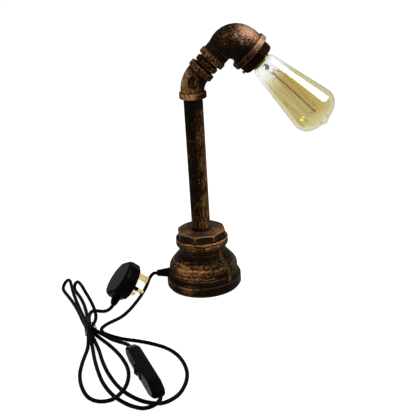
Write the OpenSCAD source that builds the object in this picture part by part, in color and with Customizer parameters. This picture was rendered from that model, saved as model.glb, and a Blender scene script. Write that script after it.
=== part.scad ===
// Industrial pipe table lamp: a cast bell reducer stands on its wide end as
// the base, an upright pipe carries a 45 degree elbow, a hex nipple and a 90
// degree reducing elbow, and a long squirrel-cage bulb points down from it.
// Origin: centre of the base's underside. +X: the way the bulb points.
// +Z: up the post. Millimetres.

/* [Base] */
// Diameter of the lower band
base_d = 102; // [94:1:112]
// Height of the casting, from the table to the top of its small end
base_h = 70.5; // [66:0.5:80]
// Height of the lower band's straight side
base_band_h = 14; // [10:0.5:17]
// Diameter of the drum above the band
base_drum_d = 93; // [90:1:100]
// Diameter of the neck under the small bead
base_neck_d = 63; // [62:0.5:66]
// Diameter of the small bead
base_bead_d = 71; // [69:0.5:76]
// Wall of the casting
base_wall = 6; // [5:0.5:8]
// Thickness of the felt disc
felt_t = 1.5; // [1:0.1:2]
// Number of cast ribs
rib_count = 2; // [2:1:6]
// Width of a cast rib
rib_w = 4; // [3:0.2:6]
// Height of a cast rib over the skin
rib_h = 1.6; // [1:0.1:2.2]

/* [Bushing] */
// Width of the octagon across its flats
oct_af = 62; // [58:0.5:64]
// Thickness of the octagon
oct_t = 9.5; // [8:0.5:12]
// Diameter of the threaded shank in the casting
oct_shank_d = 56; // [52:0.5:57]
// Length of the threaded shank
oct_shank_l = 16; // [12:0.5:17]

/* [Post] */
// Outside diameter of the pipe
pipe_d = 25; // [24:0.1:26]
// Wall of the pipe
pipe_wall = 2.6; // [2:0.1:3]
// Height of the pipe's top end
post_top = 272.6; // [240:0.1:300]

/* [45 degree elbow] */
// Length from a face of the elbow to its bend point
elbow45_leg = 22; // [21:0.5:26]
// Diameter of its beads
elbow45_bead_d = 35.5; // [34:0.5:38]
// Length of a bead
elbow45_bead_l = 8; // [7:0.5:9]
// Diameter of its body
elbow45_body_d = 31; // [30:0.5:33]
// Depth of a threaded socket
socket_l = 11.5; // [10:0.5:12]

/* [Hex nipple] */
// Width of the hexagon across its flats
hex_af = 27.5; // [26.5:0.5:30]
// Thickness of the hexagon
hex_t = 8; // [7:0.5:9]
// Thread left bare on each side of the hexagon
hex_gap = 2.3; // [1.5:0.1:3]

/* [90 degree elbow] */
// Length from the inlet face to the corner
elbow90_in = 41; // [40:0.5:46]
// Length from the corner to the outlet face
elbow90_out = 33.5; // [32:0.5:37]
// Diameter of the inlet bead
elbow90_in_bead_d = 36.5; // [36:0.5:40]
// Diameter of the outlet bead
elbow90_out_bead_d = 54; // [53:0.5:58]
// Length of the outlet bead
elbow90_out_bead_l = 8; // [7:0.5:9]
// Bend radius of the casting's centre line
elbow90_bend = 24; // [23:0.5:26]
// Diameter of the casting where the bend ends
elbow90_body_d = 48.5; // [47:0.5:51]

/* [Lampholder] */
// Width of the octagonal collar across its flats
collar_af = 44; // [43:0.5:46]
// Length of the collar in front of the elbow
collar_l = 12.5; // [11:0.5:15]
// Diameter of the collar's threaded shank
collar_shank_d = 41.9; // [41:0.1:43]
// Outside diameter of the insulating body
holder_d = 34.6; // [33:0.2:36]
// Inside diameter of the brass screw shell
shell_bore_d = 26.8; // [26.7:0.1:27.2]

/* [Bulb] */
// Largest diameter of the glass
bulb_d = 64; // [60:1:66]
// Length of the glass in front of the cap
bulb_l = 119; // [112:1:125]
// Outside diameter of the E27 cap
cap_d = 26.2; // [26:0.1:26.4]
// Length of the cap's brass shell
cap_l = 23; // [22:0.5:25]
// Cap left in view between the collar and the glass
cap_show = 4; // [3:0.5:6]
// Number of filament legs
leg_count = 8; // [4:1:10]

/* [Gland] */
// Height of the cord entry over the table
gland_z = 18; // [16.5:0.5:20]
// Diameter of the gland's neck in the wall
gland_neck_d = 10; // [9:0.5:11]
// Diameter of the gland where it meets the casting
gland_d = 13.6; // [12.5:0.2:15]
// Diameter of the gland at the cord's end
gland_tip_d = 8.4; // [8:0.2:10]
// Distance from the post's axis to the gland's outer end
gland_end = 65; // [60:1:70]

/* [Cord] */
// Diameter of the cord
cord_d = 4.6; // [4.2:0.1:4.8]

/* [Switch] */
// Length of the in-line switch
switch_l = 106; // [100:1:110]
// Width of the switch across the rocker's face
switch_w = 20; // [19:0.5:24]
// Height of the switch's two shells together
switch_h = 15; // [15:0.5:18]

/* [Plug] */
// Width of the plug
plug_w = 50; // [48:0.5:52]
// Length of the plug's pin face
plug_l = 51; // [49:0.5:53]
// Depth of the plug body behind the pin face
plug_depth = 20; // [18:0.5:22]
// Length of the fuse
fuse_l = 25.4; // [25:0.1:26]

/* [Hidden] */
$fn = 48;
turn_fit = 0.05;    // radial clearance of a thread that turns
fixed_fit = 0.1;    // radial clearance of a thread that stays tight
seat = 0.3;         // gap left between a turning piece and its stop
pipe_r = pipe_d / 2;
bore_d = 19;        // waterway of the small fittings
arm_angle = 45;     // slant of the hex nipple, from the post

// Heights and stations along the pipework
bead_l = 9.5;                             // straight side of the base's bead
oct_z = base_h + 1;                       // underside of the octagon
elbow45_z = post_top - socket_l + seat;   // lower face of the 45 degree elbow
bend_z = elbow45_z + elbow45_leg;         // its bend point
hex_t0 = elbow45_leg + hex_gap;           // hexagon, along the slant
elbow90_t = hex_t0 + hex_t + hex_gap;     // inlet face of the reducing elbow
corner_t = elbow90_t + elbow90_in;        // its corner
collar_end = elbow90_out + collar_l;      // all from the corner, along the bulb
glass_w = collar_end + cap_show;
cap_w = glass_w - cap_l;                  // inner end of the cap's shell
holder_w = cap_w - 12;                    // closed end of the insulating body

// Local +Z along the slanted nipple, +X the way the bulb points
module slant() { translate([0, 0, bend_z]) rotate([0, arm_angle, 0]) children(); }
// Local +Z along the bulb, from the reducing elbow's corner
module outlet() { slant() translate([0, 0, corner_t]) rotate([0, 90, 0]) children(); }

module ring(r_out, r_in, z0, z1) {
  translate([0, 0, z0]) difference() {
    cylinder(r = r_out, h = z1 - z0);
    translate([0, 0, -1]) cylinder(r = r_in, h = z1 - z0 + 2);
  }
}
// Rim of a fitting: a straight band with rounded edges
module bead(r, l, e = 1.2) {
  rotate_extrude() polygon(concat([[0, 0]],
    [for (a = [-90:22.5:0]) [r - e + e * cos(a), e + e * sin(a)]],
    [for (a = [0:22.5:90]) [r - e + e * cos(a), l - e + e * sin(a)]], [[0, l]]));
}
function bez(p, t) = pow(1 - t, 3) * p[0] + 3 * t * pow(1 - t, 2) * p[1]
  + 3 * t * t * (1 - t) * p[2] + pow(t, 3) * p[3];
function curve(p, n) = [for (i = [0:n]) bez(p, i / n)];

// Skin through a stack of closed rings that all have the same point count
module loft(rings) {
  n = len(rings[0]);
  m = len(rings);
  polyhedron(points = [for (r = rings) each r],
    faces = concat([[for (j = [n - 1:-1:0]) j]],
      [for (i = [0:m - 2]) for (j = [0:n - 1]) each
        [[i * n + j, i * n + (j + 1) % n, (i + 1) * n + (j + 1) % n],
         [i * n + j, (i + 1) * n + (j + 1) % n, (i + 1) * n + j]]],
      [[for (j = [0:n - 1]) (m - 1) * n + j]]));
}

// ---- Stand ----
// Half outline of the casting: band, drum, shoulder, neck and bead
drum_top = 30;
function base_outline() = concat(
  [[base_d / 2 - 1.2, felt_t], [base_d / 2, felt_t + 1.2], [base_d / 2, base_band_h],
   [base_drum_d / 2 + 1.5, base_band_h + 5.5], [base_drum_d / 2, base_band_h + 7.5]],
  curve([[base_drum_d / 2, drum_top], [base_drum_d / 2 - 0.6, drum_top + 6.5],
    [base_neck_d / 2 + 4.5, drum_top + 13], [base_neck_d / 2, base_h - 18.5]], 8),
  [[base_neck_d / 2, base_h - bead_l - 5]],
  [[base_bead_d / 2, base_h - bead_l], [base_bead_d / 2, base_h - 1.2],
   [base_bead_d / 2 - 1.2, base_h], [0, base_h], [0, felt_t]]);
module base_solid() { rotate_extrude($fn = 96) polygon(base_outline()); }
module base_bore() {
  r_neck = oct_shank_d / 2 + fixed_fit;
  shank_z = base_h + 1 - oct_shank_l - 0.5;
  rotate_extrude($fn = 96) polygon(concat(
    [[0, felt_t - 1], [base_d / 2 - base_wall, felt_t - 1], [base_d / 2 - base_wall, base_band_h + 2],
     [base_drum_d / 2 - base_wall, base_band_h + 6]],
    curve([[base_drum_d / 2 - base_wall, drum_top - 1], [base_drum_d / 2 - base_wall - 0.6, drum_top + 4.5],
      [base_neck_d / 2 - base_wall + 4, drum_top + 11], [base_neck_d / 2 - base_wall, base_h - 20.5]], 6),
    [[base_neck_d / 2 - base_wall, shank_z], [r_neck, shank_z], [r_neck, base_h + 1], [0, base_h + 1]]));
}
module base_rib(a) {
  // follows the outline from the band to the neck, drawn in the radial plane
  rotate([0, 0, a]) rotate([90, 0, 0]) translate([0, 0, -rib_w / 2]) linear_extrude(rib_w)
    polygon(concat([[base_drum_d / 2 - 4, base_band_h + 2]],
      [[base_drum_d / 2 + rib_h + 1, base_band_h + 4]],
      curve([[base_drum_d / 2 + rib_h, drum_top], [base_drum_d / 2 - 0.6 + rib_h, drum_top + 6.5],
        [base_neck_d / 2 + 4.5 + rib_h, drum_top + 13], [base_neck_d / 2 + rib_h, base_h - 18.5]], 8),
      [[base_neck_d / 2 + rib_h, base_h - bead_l - 4], [base_neck_d / 2 - 2, base_h - bead_l - 4],
       [base_neck_d / 2 - 2, base_h - 19], [base_drum_d / 2 - 4, drum_top]]));
}
module base_reducer() color([0.16, 0.12, 0.09]) difference() {
  union() {
    difference() {
      union() {
        base_solid();
        for (i = [0:rib_count - 1]) base_rib(-45 + 360 / rib_count * i);
      }
      base_bore();
    }
    // boss behind the cord's hole
    gland_axis() translate([0, 0, nut_seat]) cylinder(d = gland_d + 4, h = gland_seat - nut_seat + 1);
  }
  // spot face and drilled hole for the cord's gland
  gland_axis() translate([0, 0, gland_seat]) cylinder(d = gland_d + 1, h = 20);
  gland_axis() cylinder(d = gland_neck_d + 2 * fixed_fit, h = 60);
  // tapped hole for the earth screw
  earth_place() translate([0, 0, -1]) cylinder(d = screw_d + 2 * fixed_fit, h = 5);
}
module base_felt() color([0.06, 0.06, 0.06]) cylinder(d = base_d - 3, h = felt_t, $fn = 96);

module octagon_bushing() color([0.2, 0.15, 0.1]) difference() {
  union() {
    intersection() {
      translate([0, 0, oct_z]) rotate([0, 0, 28.9]) cylinder(d = oct_af / cos(22.5), h = oct_t, $fn = 8);
      translate([0, 0, oct_z]) rotate_extrude($fn = 96) polygon([[0, 0], [oct_af / 2 + 1, 0],
        [oct_af / 2 + 4, 3], [oct_af / 2 + 4, oct_t - 2.2], [oct_af / 2 - 0.5, oct_t], [0, oct_t]]);
    }
    translate([0, 0, pipe_z0]) cylinder(d = oct_shank_d, h = oct_z + 1 - pipe_z0);
  }
  translate([0, 0, pipe_z0 - 1]) cylinder(r = pipe_r + fixed_fit, h = 60);
  translate([0, 0, oct_z + oct_t - 2]) cylinder(r = pipe_r + 1.2, h = 5);
}
module post_pipe() color([0.15, 0.11, 0.08]) ring(pipe_r, pipe_r - pipe_wall, pipe_z0, post_top);

// Local +Z leaves the base along -X, at the height of the cord's entry
module gland_axis() { translate([0, 0, gland_z]) rotate([0, -90, 0]) children(); }
pipe_z0 = oct_z - oct_shank_l;         // lower end of the pipe and of the shank
gland_seat = base_drum_d / 2 - 0.5;    // spot face, from the post's axis
nut_seat = base_drum_d / 2 - base_wall - 1;   // flat of the boss inside
nut_t = 4;
module cord_gland() color([0.05, 0.05, 0.05]) gland_axis() difference() {
  union() {
    translate([0, 0, gland_seat + 0.05]) cylinder(d1 = gland_d, d2 = gland_tip_d, h = gland_end - gland_seat - 0.05);
    translate([0, 0, nut_seat - nut_t - 2]) cylinder(d = gland_neck_d, h = gland_seat - nut_seat + nut_t + 3);
  }
  translate([0, 0, nut_seat - nut_t - 3]) cylinder(d = cord_d + 2 * fixed_fit, h = 60);
}
module gland_nut() color([0.08, 0.08, 0.08]) gland_axis() difference() {
  translate([0, 0, nut_seat - nut_t - 0.05]) cylinder(d = 16, h = nut_t, $fn = 6);
  cylinder(d = gland_neck_d + 2 * fixed_fit, h = 60);
}

// Earth screw and tag on the inside of the band, towards the back
screw_d = 4;
earth_z = 7.4;
earth_arm = 5;                   // from the screw to the crimp
crimp_l = 3.6;
module earth_place() {
  rotate([0, 0, 120]) translate([base_d / 2 - base_wall, 0, earth_z]) rotate([0, 90, 0]) children();
}
module earth_screw() color("goldenrod") earth_place() {
  translate([0, 0, -1.2]) cylinder(d = screw_d, h = 4.8);
  translate([0, 0, -3.6]) cylinder(d = 7.6, h = 2.4);
}
module earth_tag() color("silver") earth_place() translate([0, 0, -1.15]) difference() {
  union() {
    cylinder(d = 8.4, h = 0.8);
    translate([-earth_arm - crimp_l / 2, -1.4, 0]) cube([earth_arm, 2.8, 0.8]);
    translate([-earth_arm - crimp_l, 0, -0.4]) rotate([0, 90, 0]) cylinder(d = 2.8, h = crimp_l);
  }
  translate([0, 0, -1]) cylinder(d = screw_d + 0.2, h = 3);
  translate([-earth_arm - crimp_l - 1, 0, -0.4]) rotate([0, 90, 0]) cylinder(d = core_d + 0.2, h = crimp_l);
}
core_d = 1.6;

// Round tube swept along a list of points; ref is a direction that the route never takes
function unit(v) = v / norm(v);
function tangents(p) = [for (i = [0:len(p) - 1])
  unit(p[min(i + 1, len(p) - 1)] - p[max(i - 1, 0)])];
module tube(p, d, n, ref, t0, t1) {
  t = tangents(p);
  m = len(p) - 1;
  loft([for (i = [0:m]) let (
      g = i == 0 && t0 ? t0 : i == m && t1 ? t1 : t[i],
      u = unit(cross(ref, g)), v = cross(g, u))
    [for (j = [0:n - 1]) let (a = 360 * (j + 0.5) / n + 90) p[i] + d / 2 / sqrt(cos(180 / n)) * (cos(a) * u - sin(a) * v)]]);
}
// The cord inside the lamp, in the three pieces that the swivels part
module lead(p, t0, t1) { color([0.05, 0.05, 0.05]) tube(p, cord_d - 0.2, 12, [0, 1, 0], t0, t1); }
lead_up = [[-gland_end + 0.3, 0, gland_z], [-31, 0, gland_z], [-24, 0, 18.8], [-16, 0, 22],
  [-9, 0, 27], [-3, 0, 37], [0, 0, 50]];
module lead_stand() lead(concat(lead_up, [[0, 0, 120], [0, 0, post_top]]), [1, 0, 0], [0, 0, 1]);
function on_slant(x, z) = [z * sin(arm_angle) + x * cos(arm_angle), 0, bend_z + z * cos(arm_angle) - x * sin(arm_angle)];
nipple_end = elbow90_t + socket_l - seat;
module lead_arm() {
  q = curve([[0, 0, bend_z - 10], [0, 0, bend_z - 3], on_slant(0, 3), on_slant(0, 10)], 6);
  lead(concat([[0, 0, post_top + seat]], q, [on_slant(0, nipple_end)]),
    [0, 0, 1], unit(on_slant(0, 1) - on_slant(0, 0)));
}
module lead_head() {
  q = curve([on_slant(0, corner_t - 16), on_slant(0, corner_t - 4), on_slant(2, corner_t), on_slant(12, corner_t)], 8);
  lead(concat([on_slant(0, nipple_end + seat)], q, [on_slant(holder_w - 0.1, corner_t)]),
    unit(on_slant(0, 1) - on_slant(0, 0)), unit(on_slant(1, 0) - on_slant(0, 0)));
}
core_r = base_d / 2 - base_wall - 1.55;
core_start = [core_r * cos(120), core_r * sin(120), earth_z + earth_arm + 1];
// where it bends in under the drum, inside both the band's bore and the drum's
core_turn_r = min(core_r, base_drum_d / 2 - base_wall + 2.95);
core_turn = [core_turn_r * cos(120), core_turn_r * sin(120), core_start[2]];
module earth_core() color("yellowgreen") tube(concat([core_start], curve([core_turn + [0, 0, 3], core_turn + [2.6, -4.5, 6.5], [-14, 18, 28],
  [-18, 4.3, 22.5]], 9)), core_d, 8, unit([1, 0.3, 0.1]), [0, 0, 1]);

// ---- Neck and head ----
elbow45_bend = 30;   // radius of the small elbow's centre line
elbow45_cut = elbow45_bend * tan(arm_angle / 2);
module elbow45_arc(d) {
  translate([elbow45_bend, 0, bend_z - elbow45_cut]) rotate([90, 0, 0]) rotate([0, 0, 180 - arm_angle])
    rotate_extrude(angle = arm_angle) translate([elbow45_bend, 0]) circle(d = d);
}
// Ring of a bent casting: x and z in the plane of the bend, phi the angle turned so far
function bend_ring(x, z, phi, r) = [for (j = [0:31]) let (a = j * 11.25)
  [x - cos(phi) * r * cos(a), r * sin(a), z + sin(phi) * r * cos(a)]];
module elbow_45() color([0.2, 0.15, 0.1]) difference() {
  union() {
    translate([0, 0, elbow45_z]) bead(elbow45_bead_d / 2, elbow45_bead_l);
    loft(concat([bend_ring(0, elbow45_z + 2, 0, elbow45_body_d / 2)],
      [for (phi = [0:7.5:45]) bend_ring(elbow45_bend * (1 - cos(phi)),
        bend_z - elbow45_cut + elbow45_bend * sin(phi), phi, elbow45_body_d / 2)],
      [bend_ring((elbow45_leg - 2) * sin(45), bend_z + (elbow45_leg - 2) * cos(45), 45, elbow45_body_d / 2)]));
    slant() translate([0, 0, elbow45_leg - elbow45_bead_l]) bead(elbow45_bead_d / 2, elbow45_bead_l);
  }
  translate([0, 0, elbow45_z - 1]) cylinder(r = pipe_r + turn_fit, h = socket_l + 1);
  translate([0, 0, elbow45_z]) cylinder(d = bore_d, h = elbow45_leg - elbow45_cut);
  elbow45_arc(bore_d);
  slant() translate([0, 0, elbow45_cut]) cylinder(d = bore_d, h = elbow45_leg);
  slant() translate([0, 0, elbow45_leg - socket_l]) cylinder(r = pipe_r + fixed_fit, h = socket_l + 1);
}
module hex_nipple() color([0.14, 0.1, 0.07]) slant() difference() {
  union() {
    translate([0, 0, elbow45_leg - socket_l + seat]) cylinder(r = pipe_r, h = nipple_end - elbow45_leg + socket_l - seat);
    intersection() {
      translate([0, 0, hex_t0]) cylinder(d = hex_af / cos(30), h = hex_t, $fn = 6);
      translate([0, 0, hex_t0]) rotate_extrude() polygon([[0, 0], [hex_af / 2 + 0.2, 0], [hex_af / 2 + 2.6, 1.6],
        [hex_af / 2 + 2.6, hex_t - 1.6], [hex_af / 2 + 0.2, hex_t], [0, hex_t]]);
    }
  }
  cylinder(d = bore_d, h = 100);
}

// Casting of the reducing elbow: rings along its bend, wider at the heel and the outlet
elbow90_neck_r = elbow90_in_bead_d / 2 - 1.6;
heel = 4.6;          // how far the heel swells past an even taper
crotch_r = 1.4;      // radius left inside the bend
function elbow90_ring(x, z, phi, f) = let (
    r = elbow90_neck_r + (elbow90_body_d / 2 - elbow90_neck_r) * f,
    ro = r + heel * sin(phi * 2), ri = min(r, elbow90_bend - crotch_r), rl = r + 0.35 * heel * sin(phi * 2))
  [for (j = [0:39]) let (a = j * 9, c = cos(a), n = c > 0 ? ro * c : ri * c)
    [x - cos(phi) * n, rl * sin(a), z + sin(phi) * n]];
module elbow90_casting() {
  zc = corner_t - elbow90_bend;
  loft(concat(
    [elbow90_ring(0, elbow90_t + 2, 0, 0)],
    [for (phi = [0:10:90]) elbow90_ring(elbow90_bend * (1 - cos(phi)), zc + elbow90_bend * sin(phi), phi, phi / 90)],
    [elbow90_ring(elbow90_out - 2, corner_t, 90, 1)]));
}
module elbow_90() color([0.22, 0.16, 0.11]) difference() {
  union() {
    slant() elbow90_casting();
    slant() translate([0, 0, elbow90_t]) bead(elbow90_in_bead_d / 2, elbow45_bead_l);
    outlet() translate([0, 0, elbow90_out - elbow90_out_bead_l]) bead(elbow90_out_bead_d / 2, elbow90_out_bead_l);
  }
  slant() translate([0, 0, elbow90_t - 1]) cylinder(r = pipe_r + turn_fit, h = socket_l + 1);
  slant() cylinder(d = bore_d, h = corner_t - 20);
  slant() translate([20, 0, corner_t - 20]) rotate([90, 0, 0]) rotate([0, 0, 90])
    rotate_extrude(angle = 90) translate([20, 0]) circle(d = bore_d);
  outlet() translate([0, 0, holder_w - 1]) cylinder(d = holder_d + 0.8, h = 60);
  outlet() translate([0, 0, elbow90_out - socket_l]) cylinder(d = collar_shank_d + 2 * fixed_fit, h = 60);
}
module holder_collar() color([0.17, 0.07, 0.05]) outlet() difference() {
  union() {
    translate([0, 0, elbow90_out - socket_l + seat]) cylinder(d = collar_shank_d, h = socket_l);
    intersection() {
      translate([0, 0, elbow90_out + 0.05]) rotate([0, 0, 22.5]) cylinder(d = collar_af / cos(22.5), h = collar_l - 0.05, $fn = 8);
      translate([0, 0, elbow90_out]) rotate_extrude() polygon([[0, 0], [collar_af / 2 + 0.4, 0],
        [collar_af / 2 + 2, 1.2], [collar_af / 2 + 2, collar_l - 3], [collar_af / 2 - 1, collar_l], [0, collar_l]]);
    }
  }
  cylinder(d = holder_d + 2 * fixed_fit, h = 100);
  grub() translate([0, 0, -20]) cylinder(d = grub_d + 2 * fixed_fit, h = 30);
}
grub_d = 2.4;
module grub() { translate([collar_af / 2, 0, collar_end - 4]) rotate([0, 90, 0]) children(); }
module grub_screw() color([0.12, 0.08, 0.06]) outlet() grub() {
  translate([0, 0, -collar_af / 2 + holder_d / 2 + 0.1]) cylinder(d = grub_d, h = collar_af / 2 - holder_d / 2 + 1.7);
  translate([0, 0, 1.6]) cylinder(d = 4.2, h = 1.6);
}

shell_t = 0.7;
holder_floor = 2.6;
module holder_body() color([0.1, 0.05, 0.04]) outlet() difference() {
  translate([0, 0, holder_w]) cylinder(d = holder_d, h = collar_end - 0.6 - holder_w);
  translate([0, 0, holder_w + holder_floor]) cylinder(d = shell_bore_d + 2 * shell_t + 2 * fixed_fit, h = 60);
  for (s = [-1, 1]) translate([0, s * 5, holder_w - 1]) cylinder(d = 3, h = 10);
}
module holder_shell() color("goldenrod") outlet()
  ring(shell_bore_d / 2 + shell_t, shell_bore_d / 2, holder_w + 9, collar_end - 1.6);
contact_w = cap_w - 5.2;   // face of the cap's centre contact
module holder_contact() color("goldenrod") outlet() translate([0, 0, holder_w + holder_floor + 0.05]) {
  translate([-3, -3, 0]) cube([6, 9, 0.7]);
  translate([-3, -3, 0]) cube([6, 0.7, contact_w - seat - holder_w - holder_floor - 0.75]);
  translate([-3, -3, contact_w - seat - holder_w - holder_floor - 0.75]) cube([6, 7, 0.7]);
}
module holder_terminals() color("goldenrod") outlet() translate([0, 0, holder_w + holder_floor + 0.05])
  for (s = [-1, 1]) translate([s * 8.6, 0, 0]) {
    translate([-2.4, -3.5, 0]) cube([4.8, 7, 3.6]);
    translate([0, 0, 3.6]) cylinder(d = 4, h = 1.2);
  }

// ---- Bulb: local +Z from the cap's rim to the tip ----
module bulb() { outlet() translate([0, 0, glass_w]) children(); }
bulb_r = bulb_d / 2;
glass_t = 0.8;
widest = bulb_l * 0.755;
tip_d = 10;          // sealed-off tip of the glass
tip_flare = 16;
tip_l = 6.2;
// Half outline of the glass, drawn in by g
function glass_line(g) = concat(
  [[cap_d / 2 - 0.9 - g, -8], [cap_d / 2 - 0.9 - g, 0.1]],
  curve([[cap_d / 2 - 0.4 - g, 0.4], [cap_d / 2 + 3.6 - g, 2.5], [cap_d / 2 + 4 - g, 6], [bulb_r * 0.59 - g, 16]], 6),
  curve([[bulb_r * 0.62 - g, 22], [bulb_r * 0.75 - g, 46], [bulb_r * 0.9 - g, 70], [bulb_r - g, widest]], 6),
  curve([[bulb_r - g, widest], [bulb_r * 1.03 - g, widest + 14 - g], [bulb_r * 0.66, bulb_l - tip_l - 1.3 - g], [tip_flare / 2, bulb_l - tip_l - g]], 10));
module bulb_glass() color([0.85, 0.7, 0.35, 0.4]) bulb() rotate_extrude($fn = 96) polygon(concat(
  glass_line(0), [[tip_d / 2 + 1.2, bulb_l - tip_l + 1.2], [tip_d / 2 + 0.2, bulb_l - tip_l * 0.55], [tip_d / 2 - 0.1, bulb_l - 1.6],
    [tip_d / 2 - 1.1, bulb_l - 0.4], [0, bulb_l]],
  [[0, bulb_l - tip_l - glass_t]], [for (i = [len(glass_line(glass_t)) - 1:-1:0]) glass_line(glass_t)[i]]));
module bulb_cap() color("goldenrod") outlet() rotate_extrude() polygon([
  [cap_d / 2 - 0.4, glass_w], [cap_d / 2, glass_w - 0.4], [cap_d / 2, glass_w - 4], [cap_d / 2 - 0.3, glass_w - 4.6],
  [cap_d / 2 - 0.3, cap_w + 2.5], [cap_d / 2 - 2.6, cap_w], [cap_d / 2 - 3.1, cap_w],
  [cap_d / 2 - 3.1, cap_w + 0.5], [cap_d / 2 - 0.8, cap_w + 2.9], [cap_d / 2 - 0.8, glass_w]]);
module cap_insulator() color([0.05, 0.05, 0.06]) outlet() translate([0, 0, cap_w - 4])
  cylinder(d1 = 12, d2 = cap_d - 6.4, h = 4.4);
module cap_contact() color("silver") outlet() translate([0, 0, contact_w]) {
  cylinder(d1 = 7.6, d2 = 9.6, h = 1.15);
}
// Glass foot that closes the neck, and the rod that carries the hooks
rod_r = 1.1;
hook_top = 27;
hook_low = bulb_l * 0.785;
module bulb_stem() color([0.8, 0.75, 0.6, 0.6]) bulb() rotate_extrude() polygon(concat(
  [[0, -6], [3, -6], [cap_d / 2 - 0.95 - glass_t, -7.6], [cap_d / 2 - 0.95 - glass_t, -6.8]],
  curve([[7, -4.5], [4.4, -2], [4, 4], [3.8, 12]], 4),
  [[2.6, 18], [1.8, 22], [rod_r, 24], [rod_r, hook_low + 2], [0, hook_low + 2.6]]));
cage_top = 8.5;      // radius of the upper hooks
cage_low = 12;       // radius of the lower hooks
function leg_a(k) = 200 + k * 320 / leg_count;
function hook(k) = k % 2 == 0 ? [cage_top * cos(leg_a(k)), cage_top * sin(leg_a(k)), hook_top]
  : [cage_low * cos(leg_a(k)), cage_low * sin(leg_a(k)), hook_low];
module rod(p, q, r) {
  v = q - p;
  translate(p) rotate([0, acos(v[2] / norm(v)), atan2(v[1], v[0])]) cylinder(r = r, h = norm(v), $fn = 16);
}
module bulb_wires() color([0.3, 0.28, 0.25]) bulb() {
  for (k = [1:leg_count - 1]) let (h = hook(k), c = [0, 0, h[2]])
    rod(c + unit(h - c) * (rod_r + 0.05), h + unit(h - c) * 0.6, 0.3);
  for (s = [0, leg_count]) {
    rod([0, 0, 17] + unit([hook(s)[0], hook(s)[1], 0]) * 3.2, hook(s) + [0, 0, 0], 0.35);
  }
}
module filament() color([0.25, 0.15, 0.08]) bulb() for (k = [0:leg_count - 1])
  let (d = unit(hook(k + 1) - hook(k))) rod(hook(k) + d * 0.5, hook(k + 1) - d * 0.5, 0.2);

// ---- Switch: local X along it away from the lamp's end, Y up from the table, Z the way the rocker faces ----
switch_near = [-89.2, -184.8, switch_w / 2];
switch_turn = -69.7;
switch_dir = [cos(switch_turn), sin(switch_turn), 0];
switch_far = switch_near + switch_l * switch_dir;
module switch() { translate(switch_near + switch_l / 2 * switch_dir) rotate([0, 0, switch_turn]) rotate([90, 0, 0]) children(); }
switch_taper = 15;               // length of each tapered end
switch_end_w = 10;               // width of an end
switch_screw_x = switch_l / 2 - 22;
rocker_l = 16;
rocker_w = 11.6;
rocker_gap = 1;                  // room around the rocker at its ends
rocker_tilt = 7;
rocker_rise = 5.2;               // from its pin to its raised edge
rocker_pin_r = 1.2;
rocker_z = switch_h / 2 - 3;     // height of its pin
// Outline at a level: straight sides, tapered ends and rounded corners, drawn in by g
function switch_outline(g) = let (l = switch_l / 2 - g, w = switch_w / 2 - g, e = switch_end_w / 2 - g * 0.5, t = switch_l / 2 - switch_taper)
  [for (s = [[1, 1], [-1, 1], [-1, -1], [1, -1]]) each let (q = [[l, e * 0.4], [l - 0.6, e * 0.8], [l - 2, e * 1.05], [t + 2, w - 0.7], [t - 1, w]])
    [for (i = [0:4]) let (k = s[0] * s[1] > 0 ? i : 4 - i) [s[0] * q[k][0], s[1] * q[k][1]]]];
function switch_ring(g, z) = [for (q = switch_outline(g)) [-q[0], q[1], z]];
module switch_shell(s) {
  mirror([0, 0, s < 0 ? 1 : 0]) loft([switch_ring(0, 0), switch_ring(0, switch_h / 2 - 4), switch_ring(0.8, switch_h / 2 - 1.6),
    switch_ring(2.4, switch_h / 2)]);
}
cavity_l = 2 * (switch_screw_x - 5);
cavity_w = switch_w - 7;
module switch_base() color([0.05, 0.05, 0.05]) switch() difference() {
  switch_shell(-1);
  translate([-cavity_l / 2, -cavity_w / 2, -switch_h / 2 + 2.5]) cube([cavity_l, cavity_w, switch_h]);
  for (s = [-1, 1]) translate([s * switch_screw_x, 0, -switch_h]) {
    cylinder(d = 3 + 2 * fixed_fit, h = switch_h + 1);
    cylinder(d = 6.4, h = switch_h / 2 + 3);
  }
}
module switch_cover() color([0.05, 0.05, 0.05]) switch() difference() {
  translate([0, 0, 0.05]) switch_shell(1);
  for (s = [-1, 1]) {
    translate([s * (rocker_l / 2 + rocker_gap + 1.5) + (s < 0 ? -cavity_l / 2 + rocker_l / 2 + rocker_gap + 1.5 : 0), -cavity_w / 2, -1])
      cube([cavity_l / 2 - rocker_l / 2 - rocker_gap - 1.5, cavity_w, switch_h / 2 - 1.5]);
    translate([s * switch_screw_x, 0, -1]) cylinder(d = 3 + 2 * fixed_fit, h = 5.5);
  }
  translate([-rocker_l / 2 - rocker_gap, -rocker_w / 2 - 0.4, -1]) cube([rocker_l + 2 * rocker_gap, rocker_w + 0.8, switch_h]);
  translate([0, 0, rocker_z]) rotate([90, 0, 0]) cylinder(r = rocker_pin_r + fixed_fit, h = rocker_w + 4.2, center = true);
}
module switch_pin() color("silver") switch() translate([0, 0, rocker_z]) rotate([90, 0, 0])
  cylinder(r = rocker_pin_r, h = rocker_w + 4, center = true);
module switch_rocker() color([0.04, 0.04, 0.04]) switch() translate([0, 0, rocker_z]) rotate([90, rocker_tilt, 0]) difference() {
  translate([0, 0, -rocker_w / 2]) linear_extrude(rocker_w) polygon([[-rocker_l / 2, -1.6], [-rocker_l / 2, rocker_rise - 0.5], [-rocker_l / 2 + 0.5, rocker_rise],
    [-1, rocker_rise - 1.2], [1, rocker_rise - 1.2], [rocker_l / 2 - 0.5, rocker_rise], [rocker_l / 2, rocker_rise - 0.5], [rocker_l / 2, -1.6], [3, -3], [-3, -3]]);
  cylinder(r = rocker_pin_r + turn_fit, h = 30, center = true);
}
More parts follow.
